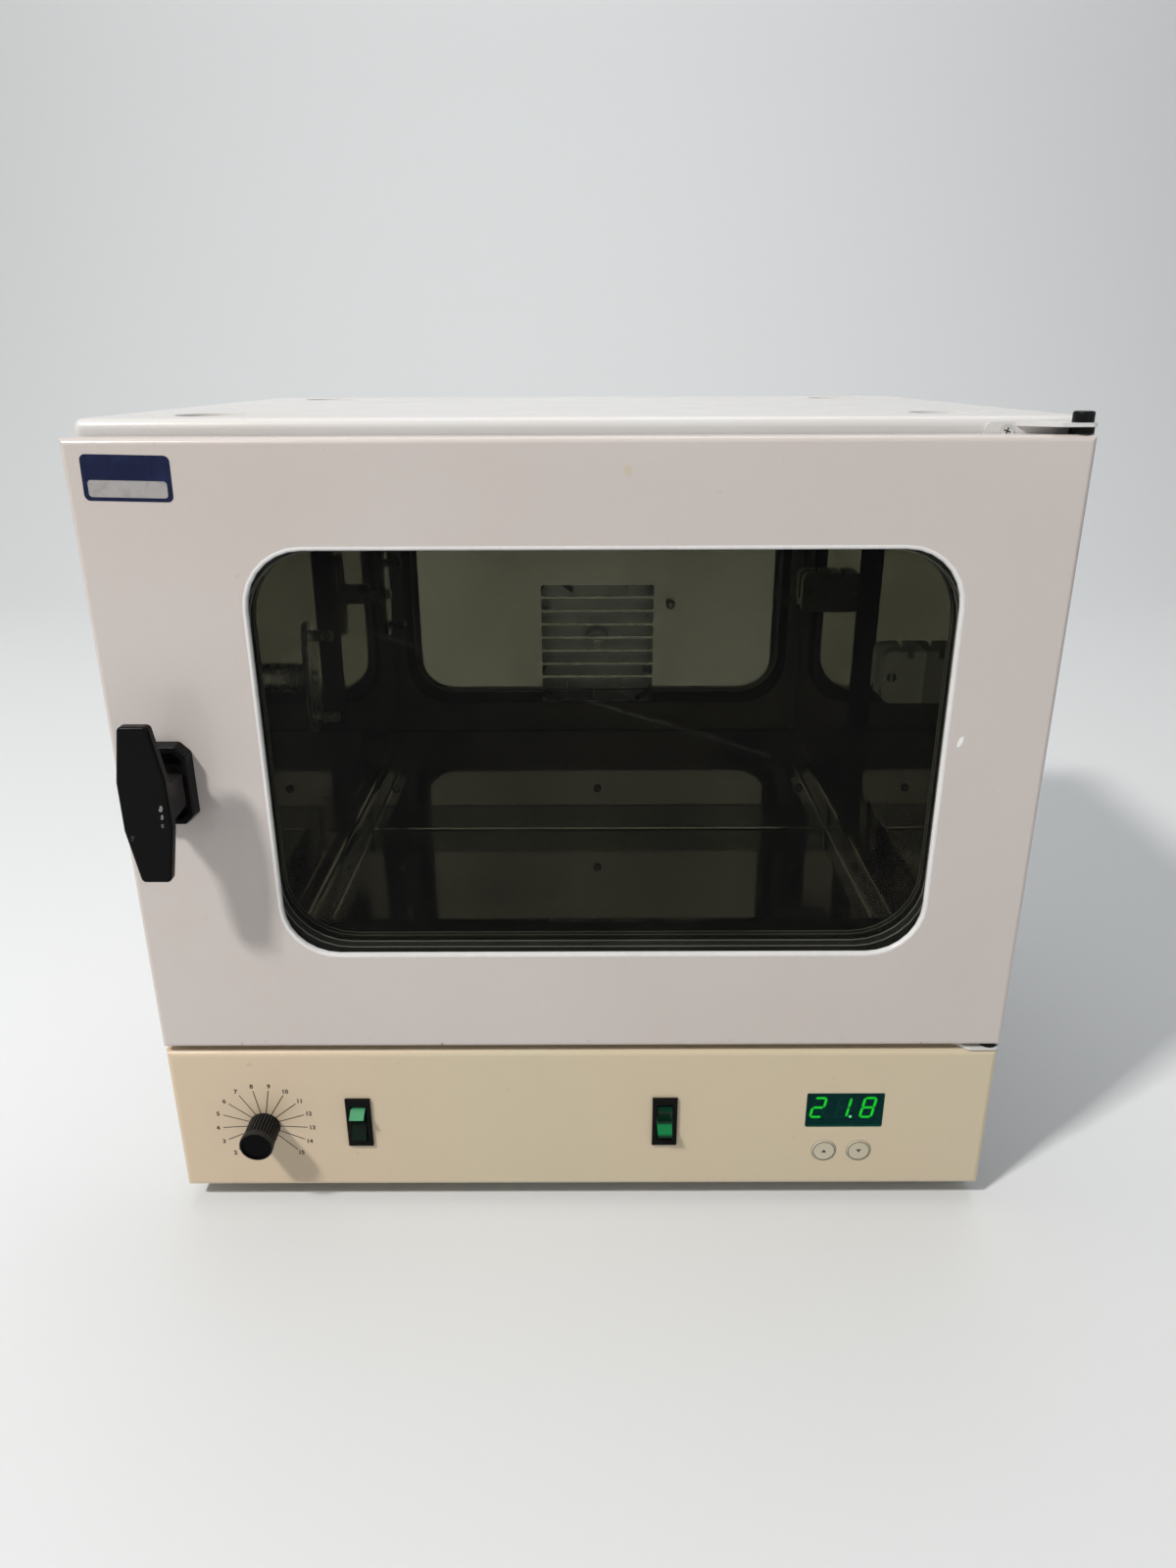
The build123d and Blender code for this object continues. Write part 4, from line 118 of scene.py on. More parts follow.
def mesh_object(name, points, faces):
    """An object at the origin from an (n, 3) array of points in metres and a list of faces."""
    mesh = bpy.data.meshes.new(name)
    mesh.from_pydata(np.asarray(points, float).reshape(-1, 3).tolist(), [],
                     [list(map(int, f)) for f in faces])
    mesh.update()
    made = bpy.data.objects.new(name, mesh)
    bpy.context.scene.collection.objects.link(made)
    return made


def grid_faces(rows, columns, wrap=False):
    """Quads of a rows by columns grid of points; wrap joins the last column to the first."""
    i, j = np.meshgrid(np.arange(rows - 1), np.arange(columns if wrap else columns - 1),
                       indexing="ij")
    i, j = i.ravel(), j.ravel()
    k = (j + 1) % columns
    return np.stack([i * columns + j, i * columns + k, (i + 1) * columns + k,
                     (i + 1) * columns + j], axis=1)


def smooth(made, angle=40.0):
    """Shades a mesh smooth, except over edges sharper than the angle in degrees."""
    made.data.shade_smooth()
    made.data.set_sharp_from_angle(angle=math.radians(angle))
    return made


turn = np.linspace(0, np.pi / 2, SWEEP_STEPS)
profile_y = np.concatenate([[FLOOR_FRONT], WALL_Y - SWEEP_RADIUS + SWEEP_RADIUS * np.sin(turn),
                            [WALL_Y]])
profile_z = np.concatenate([[0.0], SWEEP_RADIUS * (1 - np.cos(turn)), [WALL_HEIGHT]])
sheet = np.array([[(x, y, z) for x in (STUDIO_HALF_WIDTH, -STUDIO_HALF_WIDTH)]
                  for y, z in zip(profile_y, profile_z)])
backdrop = smooth(mesh_object("backdrop", sheet, grid_faces(len(profile_y), 2)))

bpy.context.scene.view_settings.view_transform = "Standard"


def soft_lamp(name, place, target, size, watts, colour=(1.0, 1.0, 1.0)):
    """A square lamp of that size in metres, aimed at the target."""
    data = bpy.data.lights.new(name, "AREA")
    data.size, data.energy, data.color = size, watts, colour
    lamp = bpy.data.objects.new(name, data)
    bpy.context.scene.collection.objects.link(lamp)
    lamp.location = place
    lamp.rotation_euler = (Vector(target) - Vector(place)).to_track_quat("-Z", "Y").to_euler()
    return lamp


OVEN_MIDDLE, WALL_MIDDLE = (0.0, -0.05, 0.2), (0.0, WALL_Y, 1.3)
WARM, COOL = (1.0, 0.975, 0.945), (0.97, 0.98, 1.0)
# Name, place, target, size in metres, watts and, where it isn't white, colour
for lamp in (("key_lamp", (-1.45, -1.38, 2.29), OVEN_MIDDLE, 0.26, 70.0, WARM),
             ("fill_lamp", (1.4, -1.7, 0.9), OVEN_MIDDLE, 1.6, 4.5, COOL),
             ("top_lamp", (0.0, 0.25, 2.3), OVEN_MIDDLE, 1.8, 3.5),
             ("wall_lamp", (0.0, 0.9, 3.2), WALL_MIDDLE, 2.4, 42.0)):
    soft_lamp(*lamp)

# %% [markdown]
# ## Small tools for materials
# Nearly every finish below is one Principled shader fed by a few noise patterns. The
# patterns read Object coordinates, which are metres in the model, so a scale of 900 means
# a grain of about a millimetre wherever it lies.

# %% Material tools


def new_finish(name):
    """A new material: its node tree and its Principled shader."""
    made = bpy.data.materials.new(name)
    made.use_nodes = True
    tree = made.node_tree
    shader = next(n for n in tree.nodes if n.type == "BSDF_PRINCIPLED")
    return made, tree, shader


def feed(tree, shader, colour, rough, mirror=0.5):
    """Links a colour and a roughness to the shader; mirror is how strongly it reflects."""
    tree.links.new(colour, shader.inputs["Base Color"])
    tree.links.new(rough, shader.inputs["Roughness"])
    shader.inputs["Specular IOR Level"].default_value = mirror


def put(tree, kind, **values):
    """Adds a node; a value goes to a socket of that name, or to a property if there is none."""
    node = tree.nodes.new(kind)
    for key, value in values.items():
        if key in node.inputs:
            node.inputs[key].default_value = value
        else:
            setattr(node, key, value)
    return node


def place_of(tree, stretch=(1.0, 1.0, 1.0), turned=(0.0, 0.0, 0.0), centre=(0.0, 0.0, 0.0)):
    """Object coordinates, moved so that centre is the origin, turned and stretched."""
    coordinates = put(tree, "ShaderNodeTexCoord")
    mapping = put(tree, "ShaderNodeMapping", vector_type="TEXTURE")
    mapping.inputs["Location"].default_value = centre
    mapping.inputs["Rotation"].default_value = turned
    mapping.inputs["Scale"].default_value = [1 / s for s in stretch]
    tree.links.new(coordinates.outputs["Object"], mapping.inputs["Vector"])
    return mapping.outputs["Vector"]


def noise(tree, place, scale, detail=3.0, roughness=0.55):
    """Cloudy grey noise, about 0.5 on average."""
    node = put(tree, "ShaderNodeTexNoise", Scale=scale, Detail=detail, Roughness=roughness)
    tree.links.new(place, node.inputs["Vector"])
    return node.outputs["Fac"]


def between(tree, value, low, high, out_low=0.0, out_high=1.0):
    """Maps low..high to out_low..out_high, smoothly, and holds the ends."""
    node = put(tree, "ShaderNodeMapRange", interpolation_type="SMOOTHSTEP")
    for socket, number in (("From Min", low), ("From Max", high),
                           ("To Min", out_low), ("To Max", out_high)):
        node.inputs[socket].default_value = number
    tree.links.new(value, node.inputs["Value"])
    return node.outputs["Result"]


def patchy(tree, place, scale, low, high, detail=3.0):
    """A number that drifts from low to high in patches about 1 / scale metres wide."""
    return between(tree, noise(tree, place, scale, detail), 0.3, 0.7, low, high)


def combine(tree, operation, first, second):
    """One Math node; each side is a socket or a number."""
    node = put(tree, "ShaderNodeMath", operation=operation)
    for socket, side in zip(node.inputs, (first, second)):
        if isinstance(side, (int, float)):
            socket.default_value = side
        else:
            tree.links.new(side, socket)
    return node.outputs[0]


def blend_colours(tree, factor, first, second):
    """Goes from the first colour to the second as factor goes from 0 to 1."""
    node = put(tree, "ShaderNodeMix", data_type="RGBA")
    tree.links.new(factor, node.inputs["Factor"])
    colour_inputs = [s for s in node.inputs if s.type == "RGBA"]
    for socket, side in zip(colour_inputs, (first, second)):
        if isinstance(side, (tuple, list)):
            socket.default_value = (*side, 1.0)
        else:
            tree.links.new(side, socket)
    return next(s for s in node.outputs if s.type == "RGBA")


def mix_shaders(tree, share, first, second):
    """A node that goes from the first shader to the second as the share goes from 0 to 1."""
    node = put(tree, "ShaderNodeMixShader")
    for socket, side in zip(node.inputs, (share, first.outputs[0], second.outputs[0])):
        tree.links.new(side, socket)
    return node


def raise_bumps(tree, shader, height, distance):
    """Bumps of that height in metres, on top of any that the shader already has."""
    node = put(tree, "ShaderNodeBump", Strength=1.0, Distance=distance)
    tree.links.new(height, node.inputs["Height"])
    normal = shader.inputs["Normal"]
    if normal.is_linked:
        tree.links.new(normal.links[0].from_socket, node.inputs["Normal"])
    tree.links.new(node.outputs["Normal"], normal)


def axis_value(tree, place, axis):
    """The X, Y or Z of a place, as one number."""
    node = put(tree, "ShaderNodeSeparateXYZ")
    tree.links.new(place, node.inputs[0])
    return node.outputs[axis]


def distance_of(tree, place):
    """How far a place is from its origin."""
    length = put(tree, "ShaderNodeVectorMath", operation="LENGTH")
    tree.links.new(place, length.inputs[0])
    return length.outputs["Value"]


def spot(tree, centre, radius, stretch=(1.0, 1.0, 1.0), turned=(0.0, 0.0, 0.0), ragged=0.35):
    """1 inside a ragged round mark about centre, 0 outside; radius in metres."""
    place = place_of(tree, stretch, turned, centre)
    edge = noise(tree, place_of(tree), 1.1 / radius, 2.0)
    reach = combine(tree, "ADD", distance_of(tree, place),
                    combine(tree, "MULTIPLY", edge, ragged * radius * 2))
    return between(tree, reach, radius * (1 + ragged), radius * (0.8 + ragged))


SCRATCH_WANDER = 0.03    # how far a scratch strays from its line, as a share of its length


def hairline(tree, start, end, width):
    """1 along a broken scratch from start to end, both (x, z) in metres, on an upright face.

    The place is moved so that the start is the origin, turned so that the scratch lies
    along X, and divided by its length. The line is where Z is nearly 0 and X is 0 to 1.
    """
    dx, dz = end[0] - start[0], end[1] - start[1]
    length = math.hypot(dx, dz)
    place = place_of(tree, (1 / length,) * 3, (0.0, -math.atan2(dz, dx), 0.0),
                     (start[0], 0.0, start[1]))
    along, off = axis_value(tree, place, "X"), axis_value(tree, place, "Z")
    wander = combine(tree, "MULTIPLY_ADD", noise(tree, place, 2.5, 1.0), SCRATCH_WANDER)
    wander.node.inputs[2].default_value = -SCRATCH_WANDER / 2
    off = combine(tree, "ABSOLUTE", combine(tree, "ADD", off, wander), 0.0)
    thin = between(tree, off, width / length, width / length * 0.4)
    inside = combine(tree, "MULTIPLY", between(tree, along, 0.0, 0.02),
                     between(tree, along, 1.0, 0.98))
    broken = between(tree, noise(tree, place, 45.0, 2.0, 0.7), 0.42, 0.55)
    return combine(tree, "MULTIPLY", combine(tree, "MULTIPLY", thin, inside), broken)


# %% [markdown]
# ## Painted steel
# Powder coat is never quite flat: it has an orange-peel ripple a millimetre or so across,
# and an old one is yellower in some places than in others. The door also has its own
# marks: a chip beside the window, a faint stain near the top, and rust specks where the
# lower edge has lost its paint.

# %% White paint
WHITE, WHITE_AGED = (0.65, 0.64, 0.63), (0.62, 0.60, 0.575)
DOOR_WHITE, DOOR_AGED = (0.585, 0.53, 0.50), (0.56, 0.50, 0.465)
DIRT, STAINED, CHIPPED, RUST = ((0.30, 0.25, 0.19), (0.55, 0.47, 0.27), (0.93, 0.93, 0.92),
                                (0.16, 0.06, 0.025))
door_low, door_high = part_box("door_shell")
door_front = door_low.y
# Middle, radius, stretch and turn of the marks on the door's face
DOOR_CHIP = ((0.1659, door_front, 0.2528), 0.0012, (1.0, 1.0, 0.42), (0.0, 0.35, 0.0))
DOOR_STAIN = ((0.0199, door_front, 0.3673), 0.0016, (1.0, 1.0, 0.62), (0.0, -0.3, 0.0))
RUST_TOP, RUST_FULL = 0.006, 0.003       # above the door's lower edge


def white_paint(name, marked=False):
    """Warm white gloss powder coat; marked adds the door's own chip, stain and rust."""
    made, tree, shader = new_finish(name)
    place = place_of(tree)
    cloud = between(tree, noise(tree, place, 5.0, 4.0), 0.35, 0.7)
    colour = blend_colours(tree, cloud, *((DOOR_WHITE, DOOR_AGED) if marked
                                          else (WHITE, WHITE_AGED)))
    dirt = between(tree, noise(tree, place, 260.0, 5.0, 0.7), 0.68, 0.74)
    colour = blend_colours(tree, combine(tree, "MULTIPLY", dirt, 0.35), colour, DIRT)
    shader.inputs["Coat Weight"].default_value = 0.35
    shader.inputs["Coat Roughness"].default_value = 0.12
    rough = patchy(tree, place, 40.0, 0.30, 0.42)
    if marked:
        chip, stain = spot(tree, *DOOR_CHIP), spot(tree, *DOOR_STAIN)
        low_edge = between(tree, axis_value(tree, place, "Z"), door_low.z + RUST_TOP,
                           door_low.z + RUST_FULL)
        speck = between(tree, noise(tree, place, 420.0, 2.0, 0.6), 0.69, 0.73)
        rust = combine(tree, "MULTIPLY", low_edge, speck)
        for mark, strength, tone in ((stain, 0.45, STAINED), (chip, 0.85, CHIPPED)):
            colour = blend_colours(tree, combine(tree, "MULTIPLY", mark, strength), colour,
                                   tone)
        colour = blend_colours(tree, rust, colour, RUST)
        rough = combine(tree, "ADD", rough, combine(tree, "MULTIPLY", rust, 0.4))
        raise_bumps(tree, shader, combine(tree, "ADD", chip, rust), 0.00012)
    feed(tree, shader, colour, rough)
    raise_bumps(tree, shader, noise(tree, place, 620.0, 2.0), 0.00006)
    return made


# %% [markdown]
# The control panel's cream paint has yellowed, most at its left end. That is the panel's
# own X coordinate driving a blend of two creams.

# %% Cream paint
CREAM, CREAM_AGED, CREAM_GRIME = ((0.58, 0.512, 0.358), (0.625, 0.495, 0.35),
                                  (0.30, 0.22, 0.13))
AGED_FROM = 0.02                 # X where the yellowing starts; it is full at the left end
panel_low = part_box("control_panel")[0]


def cream_paint(name):
    """Cream paint that is yellower towards the left end of the panel."""
    made, tree, shader = new_finish(name)
    place = place_of(tree)
    left_end = between(tree, axis_value(tree, place, "X"), AGED_FROM, panel_low.x)
    cloud = patchy(tree, place, 9.0, 0.0, 0.5, 4.0)
    colour = blend_colours(tree, combine(tree, "MAXIMUM", left_end, cloud), CREAM, CREAM_AGED)
    grime = between(tree, noise(tree, place, 180.0, 5.0, 0.7), 0.64, 0.74)
    colour = blend_colours(tree, combine(tree, "MULTIPLY", grime, 0.3), colour, CREAM_GRIME)
    feed(tree, shader, colour, patchy(tree, place, 55.0, 0.34, 0.46))
    shader.inputs["Coat Weight"].default_value = 0.2
    shader.inputs["Coat Roughness"].default_value = 0.2
    raise_bumps(tree, shader, noise(tree, place, 700.0, 2.0), 0.00005)
    return made


# %% [markdown]
# ## Metals
# A metal's colour is its reflection, so what tells one steel from another is roughness:
# nearly none on the polished chamber with its oily smears, a grain along one direction on
# drawn parts, spangles on zinc. Each grain is noise stretched along an axis.

# %% Steel, zinc and other metals


def metal(name, colour, dark, rough, grain, stretch, depth, smear=0.0):
    """A metal: two tones, a roughness range (low, high) and a grain of that scale.

    The grain is stretched along the axis whose share in stretch is small, and raised by
    depth in metres. Smear is how much rougher it is where a hand or a cloth has wiped.
    """
    made, tree, shader = new_finish(name)
    shader.inputs["Metallic"].default_value = 1.0
    place = place_of(tree)
    cloud = between(tree, noise(tree, place, 14.0, 4.0), 0.35, 0.68)
    lines = noise(tree, place_of(tree, stretch), grain, 3.0, 0.6)
    value = between(tree, lines, 0.3, 0.7, *rough)
    if smear:
        wipe = between(tree, noise(tree, place_of(tree, (1.0, 1.0, 2.5), (0.3, 0.5, 0.2)),
                                   18.0, 5.0, 0.7), 0.52, 0.72)
        value = combine(tree, "ADD", value, combine(tree, "MULTIPLY", wipe, smear))
    feed(tree, shader, blend_colours(tree, cloud, colour, dark), value)
    if depth:
        raise_bumps(tree, shader, lines, depth)
    return made


def spangled_zinc(name):
    """Galvanised sheet: large crystals, each with its own grey and gloss."""
    made, tree, shader = new_finish(name)
    shader.inputs["Metallic"].default_value = 1.0
    cells = put(tree, "ShaderNodeTexVoronoi", Scale=85.0, Randomness=1.0)
    tree.links.new(place_of(tree), cells.inputs["Vector"])
    grey = axis_value(tree, cells.outputs["Color"], "X")
    feed(tree, shader, blend_colours(tree, grey, (0.50, 0.52, 0.53), (0.66, 0.67, 0.68)),
         between(tree, grey, 0.0, 1.0, 0.32, 0.5))
    raise_bumps(tree, shader, noise(tree, place_of(tree), 300.0), 0.00003)
    return made


# %% [markdown]
# ## Plastics, rubber and wool
# Moulded plastic gets a fine spark-eroded grain. The grip is satin black, with a little wear
# and pale spots along its edges that are a painted highlight. The knob's ridges are painted
# grey, a painted highlight. Mineral wool is a mat of fibres: two stretched noises at an angle.

# %% Plastics, rubber and wool
grip_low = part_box("latch_handle")[0]
knob_low, knob_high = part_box("speed_knob")
knob_x, knob_z = middle_of("speed_knob")
KNOB_CAP_WIDER, KNOB_FLUTE = 0.4 * MM, 0.45 * MM
knob_radius = (knob_high.x - knob_low.x) / 2 - KNOB_CAP_WIDER


def moulded(name, colour, second, rough, grain=1500.0, depth=0.00003, coat=0.0,
            mirror=0.5):
    """Moulded plastic: two close tones, a roughness range and an eroded grain."""
    made, tree, shader = new_finish(name)
    place = place_of(tree)
    cloud = patchy(tree, place, 30.0, 0.0, 1.0, 4.0)
    feed(tree, shader, blend_colours(tree, cloud, colour, second),
         patchy(tree, place, 90.0, *rough, 4.0), mirror)
    shader.inputs["Coat Weight"].default_value = coat
    raise_bumps(tree, shader, noise(tree, place, grain, 2.0), depth)
    return made


# Painted highlights in spots along the grip's edges: x and z in metres, radius, and how bright
# each one is
GRIP_EDGE_GLINTS = ((-0.1744, 0.2346, 0.0008, 0.8), (-0.1744, 0.2309, 0.0007, 0.8),
               (-0.1747, 0.2269, 0.0006, 0.4), (-0.1882, 0.2215, 0.0008, 0.12))


def worn_grip(name):
    """The latch grip: satin black with a little wear, and pale spots along its edges as a painted
    highlight.
    """
    made, tree, shader = new_finish(name)
    place = place_of(tree)
    wear_and_glints = between(tree, noise(tree, place, 1100.0, 3.0, 0.7), 0.76, 0.80, 0.0, 0.08)
    crumbs = between(tree, noise(tree, place, 1800.0, 2.0, 0.6), 0.44, 0.54)
    # The pale spots are a painted highlight along the grip's edges; the noise above is wear.
    for x, z, radius, strength in GRIP_EDGE_GLINTS:
        edge_glint = spot(tree, (x, grip_low.y, z), radius, (1.0, 0.3, 0.55), (0.0, 0.2, 0.0), 0.9)
        edge_glint = combine(tree, "MULTIPLY", edge_glint, crumbs)
        wear_and_glints = combine(tree, "MAXIMUM", wear_and_glints, combine(tree, "MULTIPLY", edge_glint, strength))
    black = blend_colours(tree, noise(tree, place, 25.0), (0.0025, 0.0025, 0.0027),
                          (0.0045, 0.0043, 0.0043))
    feed(tree, shader, blend_colours(tree, wear_and_glints, black, (0.50, 0.49, 0.48)),
         patchy(tree, place, 120.0, 0.17, 0.26, 4.0), mirror=0.07)
    raise_bumps(tree, shader, noise(tree, place, 1700.0, 2.0), 0.000006)
    return made


def fluted_knob(name):
    """Black plastic with a painted grey highlight on the ridges, by the distance from the knob's
    axis.
    """
    made, tree, shader = new_finish(name)
    flattened = place_of(tree, (1.0, 0.0001, 1.0), centre=(knob_x, 0.0, knob_z))
    # The grey on the ridges is a painted highlight, made uneven by noise.
    lit_ridge = between(tree, distance_of(tree, flattened), knob_radius - KNOB_FLUTE, knob_radius)
    rubbed = between(tree, noise(tree, place_of(tree), 700.0, 3.0), 0.35, 0.65, 0.55, 1.0)
    lit_ridge = combine(tree, "MULTIPLY", lit_ridge, rubbed)
    feed(tree, shader,
         blend_colours(tree, lit_ridge, (0.0015, 0.0015, 0.0017), (0.038, 0.036, 0.034)),
         between(tree, lit_ridge, 0.0, 1.0, 0.42, 0.26), mirror=0.05)
    raise_bumps(tree, shader, noise(tree, place_of(tree), 1500.0, 2.0), 0.000008)
    return made


def mineral_wool(name):
    """Yellow-brown fibre mat."""
    made, tree, shader = new_finish(name)
    first = noise(tree, place_of(tree, (1, 6, 6), (0.4, 0.2, 0.7)), 240.0, 4.0, 0.7)
    second = noise(tree, place_of(tree, (6, 1, 6), (0.9, 0.5, 0.1)), 240.0, 4.0, 0.7)
    fibres = combine(tree, "MAXIMUM", first, second)
    feed(tree, shader, blend_colours(tree, between(tree, fibres, 0.4, 0.75),
                                     (0.30, 0.24, 0.12), (0.62, 0.55, 0.36)),
         between(tree, fibres, 0.3, 0.8, 0.85, 1.0))
    raise_bumps(tree, shader, fibres, 0.0012)
    return made


# %% [markdown]
# ## Glass
# Refraction through a flat pane hardly moves what is behind it, so the pane is a mix of
# two simple shaders: tinted see-through, and a mirror that grows towards grazing angles.
# Lamps shine through it too, which real refraction would only allow with many more
# samples. Dust specks and two hair-thin scratches are a faint white film on the pane. The
# display's filter has an even veil of dark teal as well.

# %% Glass and dark filter
# Both ends of each scratch, as x and z in metres
SCRATCHES = (((-0.0880, 0.3016), (-0.0640, 0.2932)), ((0.0010, 0.2722), (0.0850, 0.2452)))
SCRATCH_WIDTH, SCRATCH_COVER, DUST_BASE = 0.00009, 0.55, 0.004


def clear_pane(name, tint, dust, gloss=0.012, hairlines=(), glare=1.13, veil=0.0,
               film_colour=(0.62, 0.60, 0.57)):
    """A see-through shader with a mirror on its front face, a veil and a film of dust.

    Tint is what shines through, dust how much of the film shows, gloss the mirror's
    roughness and glare its refractive index, which sets how fast it grows at an angle.
    """
    made, tree, shader = new_finish(name)
    through = put(tree, "ShaderNodeBsdfTransparent", Color=(*tint, 1.0))
    mirror = put(tree, "ShaderNodeBsdfGlossy", Roughness=gloss)
    film = put(tree, "ShaderNodeBsdfDiffuse", Color=(*film_colour, 1.0))
    edge = put(tree, "ShaderNodeFresnel", IOR=glare)
    side = put(tree, "ShaderNodeNewGeometry")
    outside = combine(tree, "SUBTRACT", 1.0, side.outputs["Backfacing"])
    shine = combine(tree, "MULTIPLY", edge.outputs[0], outside)
    marks = 0.0
    for start, end in hairlines:
        marks = combine(tree, "MAXIMUM", hairline(tree, start, end, SCRATCH_WIDTH),
                        marks)
    specks = between(tree, noise(tree, place_of(tree), 620.0, 2.0, 0.6), 0.755, 0.775)
    haze = between(tree, noise(tree, place_of(tree), 12.0, 4.0), 0.3, 0.8, 0.2, 1.0)
    cover = combine(tree, "MULTIPLY", combine(tree, "ADD", specks, DUST_BASE), haze)
    marks = combine(tree, "MULTIPLY", marks, SCRATCH_COVER)
    cover = combine(tree, "MULTIPLY", combine(tree, "MAXIMUM", cover, marks), dust)
    cover = combine(tree, "MAXIMUM", cover, veil)
    dusty = mix_shaders(tree, cover, through, film)
    shiny = mix_shaders(tree, shine, dusty, mirror)
    output = next(n for n in tree.nodes if n.type == "OUTPUT_MATERIAL")
    tree.links.new(shiny.outputs[0], output.inputs["Surface"])
    tree.nodes.remove(shader)
    return made


# %% [markdown]
# ## Lit rockers
# Both rockers are one piece of translucent green plastic with a lamp behind it. Faces that
# look up are painted pale, a painted highlight for the room's light from above, and the rest
# stays bottle green. The power rocker's lower half also glows, because its lamp is on. The
# Normal's Z says how far a face looks up, and Object Z says how high a place is.

# %% Green rockers
LAMP_GREEN, LAMP_FADE_LOW, LAMP_FADE_HIGH = (0.008, 0.55, 0.15), 1.5 * MM, 1.2 * MM


def green_rocker(name, pale, deep, glow_low, glow_high, strength):
    """Green plastic with a painted pale highlight where it looks up, that glows between two
    heights in metres.
    """
    made, tree, shader = new_finish(name)
    place = place_of(tree)
    upward = axis_value(tree, put(tree, "ShaderNodeNewGeometry").outputs["Normal"], "Z")
    # Faces that look up get the pale colour as a painted highlight.
    painted_top_light = between(tree, upward, 0.60, 0.80)
    cloud = patchy(tree, place, 350.0, 0.0, 1.0)
    green = blend_colours(tree, cloud, deep, tuple(c * 0.7 for c in deep))
    feed(tree, shader, blend_colours(tree, painted_top_light, green, pale),
         between(tree, cloud, 0.0, 1.0, 0.14, 0.24), mirror=0.15)
    height = axis_value(tree, place, "Z")
    lamp = combine(tree, "MULTIPLY", between(tree, height, glow_low, glow_low + LAMP_FADE_LOW),
                   between(tree, height, glow_high, glow_high - LAMP_FADE_HIGH))
    tree.links.new(combine(tree, "MULTIPLY", lamp, strength),
                   shader.inputs["Emission Strength"])
    shader.inputs["Emission Color"].default_value = (*LAMP_GREEN, 1.0)
    raise_bumps(tree, shader, noise(tree, place, 900.0), 0.00002)
    return made


# %% [markdown]
# ## Hand out the finishes
# Each node takes its finish from its slot in the record, except where one piece of a slot
# has marks that the others don't, such as the door among the painted pieces, or is painted
# darker than its slot as painted shade, such as the floor tray and the baffle screws. A
# metal's grain runs along the axis whose share is small.

# %% Assign materials to the CAD nodes
ALONG_X, ALONG_Z, NO_GRAIN = (0.04, 1.0, 1.0), (1.0, 1.0, 0.04), (1.0, 1.0, 1.0)
PANE_TINT = (0.80, 0.805, 0.775)
FILTER_TINT, FILTER_VEIL = (0.28, 0.52, 0.50), (0.014, 0.20, 0.19)
NO_GLOW, GLOW_FROM, GLOW_TO = 0.0, -5.2 * MM, 0.2 * MM       # from the switches' middle
# Two tones, roughness from and to, grain, depth of the grain, gloss coat, reflection
MOULDED = {
    "black_plastic": ((0.0045, 0.0045, 0.005), (0.008, 0.0078, 0.008), (0.20, 0.28), 1500.0,
                      0.000006, 0.0, 0.10),
    "dark_plastic": ((0.003, 0.003, 0.0032), (0.005, 0.0048, 0.0048), (0.20, 0.28), 1500.0,
                     0.000004, 0.0, 0.07),
    "white_plastic": ((0.66, 0.65, 0.61), (0.58, 0.56, 0.50), (0.30, 0.45), 1100.0, 0.00005),
    "cream_plastic": ((0.57, 0.52, 0.40), (0.52, 0.47, 0.35), (0.28, 0.40)),
    "black_rubber": ((0.014, 0.014, 0.014), (0.028, 0.027, 0.026), (0.50, 0.70), 800.0, 0.00006),
    "grey_rubber": ((0.10, 0.10, 0.098), (0.15, 0.147, 0.14), (0.60, 0.78), 700.0, 0.00008),
    "circuit_board": ((0.02, 0.11, 0.045), (0.015, 0.085, 0.035), (0.30, 0.42), 600.0, 0.00004,
                      0.3),
    "black_enamel": ((0.015, 0.015, 0.015), (0.028, 0.027, 0.025), (0.35, 0.5), 500.0, 0.00006),
}
# Two tones, roughness from and to, grain and its direction, depth, smears
METALS = {
    "polished_steel": ((0.53, 0.50, 0.45), (0.43, 0.40, 0.355), (0.012, 0.035), 260.0, ALONG_X,
                       0.0, 0.06),
    # The chamber's polished steel painted darker for the tray: painted shade on the chamber floor
    "shaded_tray_steel": ((0.27, 0.255, 0.23), (0.20, 0.19, 0.17), (0.03, 0.07), 260.0, ALONG_X, 0.0,
                   0.08),
    "turned_steel": ((0.60, 0.59, 0.57), (0.46, 0.44, 0.41), (0.18, 0.32), 500.0, ALONG_Z,
                     0.000015),
    # Steel painted dark for the baffle screws' heads: painted shade
    "shaded_screw": ((0.09, 0.088, 0.082), (0.05, 0.048, 0.045), (0.25, 0.4), 500.0, ALONG_Z,
                   0.000015),
    "cast_aluminium": ((0.62, 0.62, 0.61), (0.50, 0.50, 0.49), (0.36, 0.52), 420.0, NO_GRAIN,
                       0.00008),
    "bronze": ((0.60, 0.42, 0.22), (0.42, 0.28, 0.14), (0.22, 0.38), 400.0, NO_GRAIN, 0.00003),
}
slot_finish = {name: moulded(name, *row) for name, row in MOULDED.items()}
slot_finish.update({name: metal(name, *row) for name, row in METALS.items()})
slot_finish.update({name: make(name) for name, make in (
    ("white_paint", white_paint), ("cream_paint", cream_paint), ("zinc_sheet", spangled_zinc),
    ("mineral_wool", mineral_wool))})
slot_finish["clear_glass"] = clear_pane("clear_glass", PANE_TINT, 0.25)
slot_finish["dark_window"] = clear_pane("dark_window", FILTER_TINT, 0.10, veil=0.10,
                                        film_colour=FILTER_VEIL)
switch_middle = middle_of("switch_bodies")[1]
slot_finish["green_lens"] = green_rocker("green_lens", (0.085, 0.33, 0.16),
                                         (0.0015, 0.010, 0.0055), 0.0, MM, NO_GLOW)
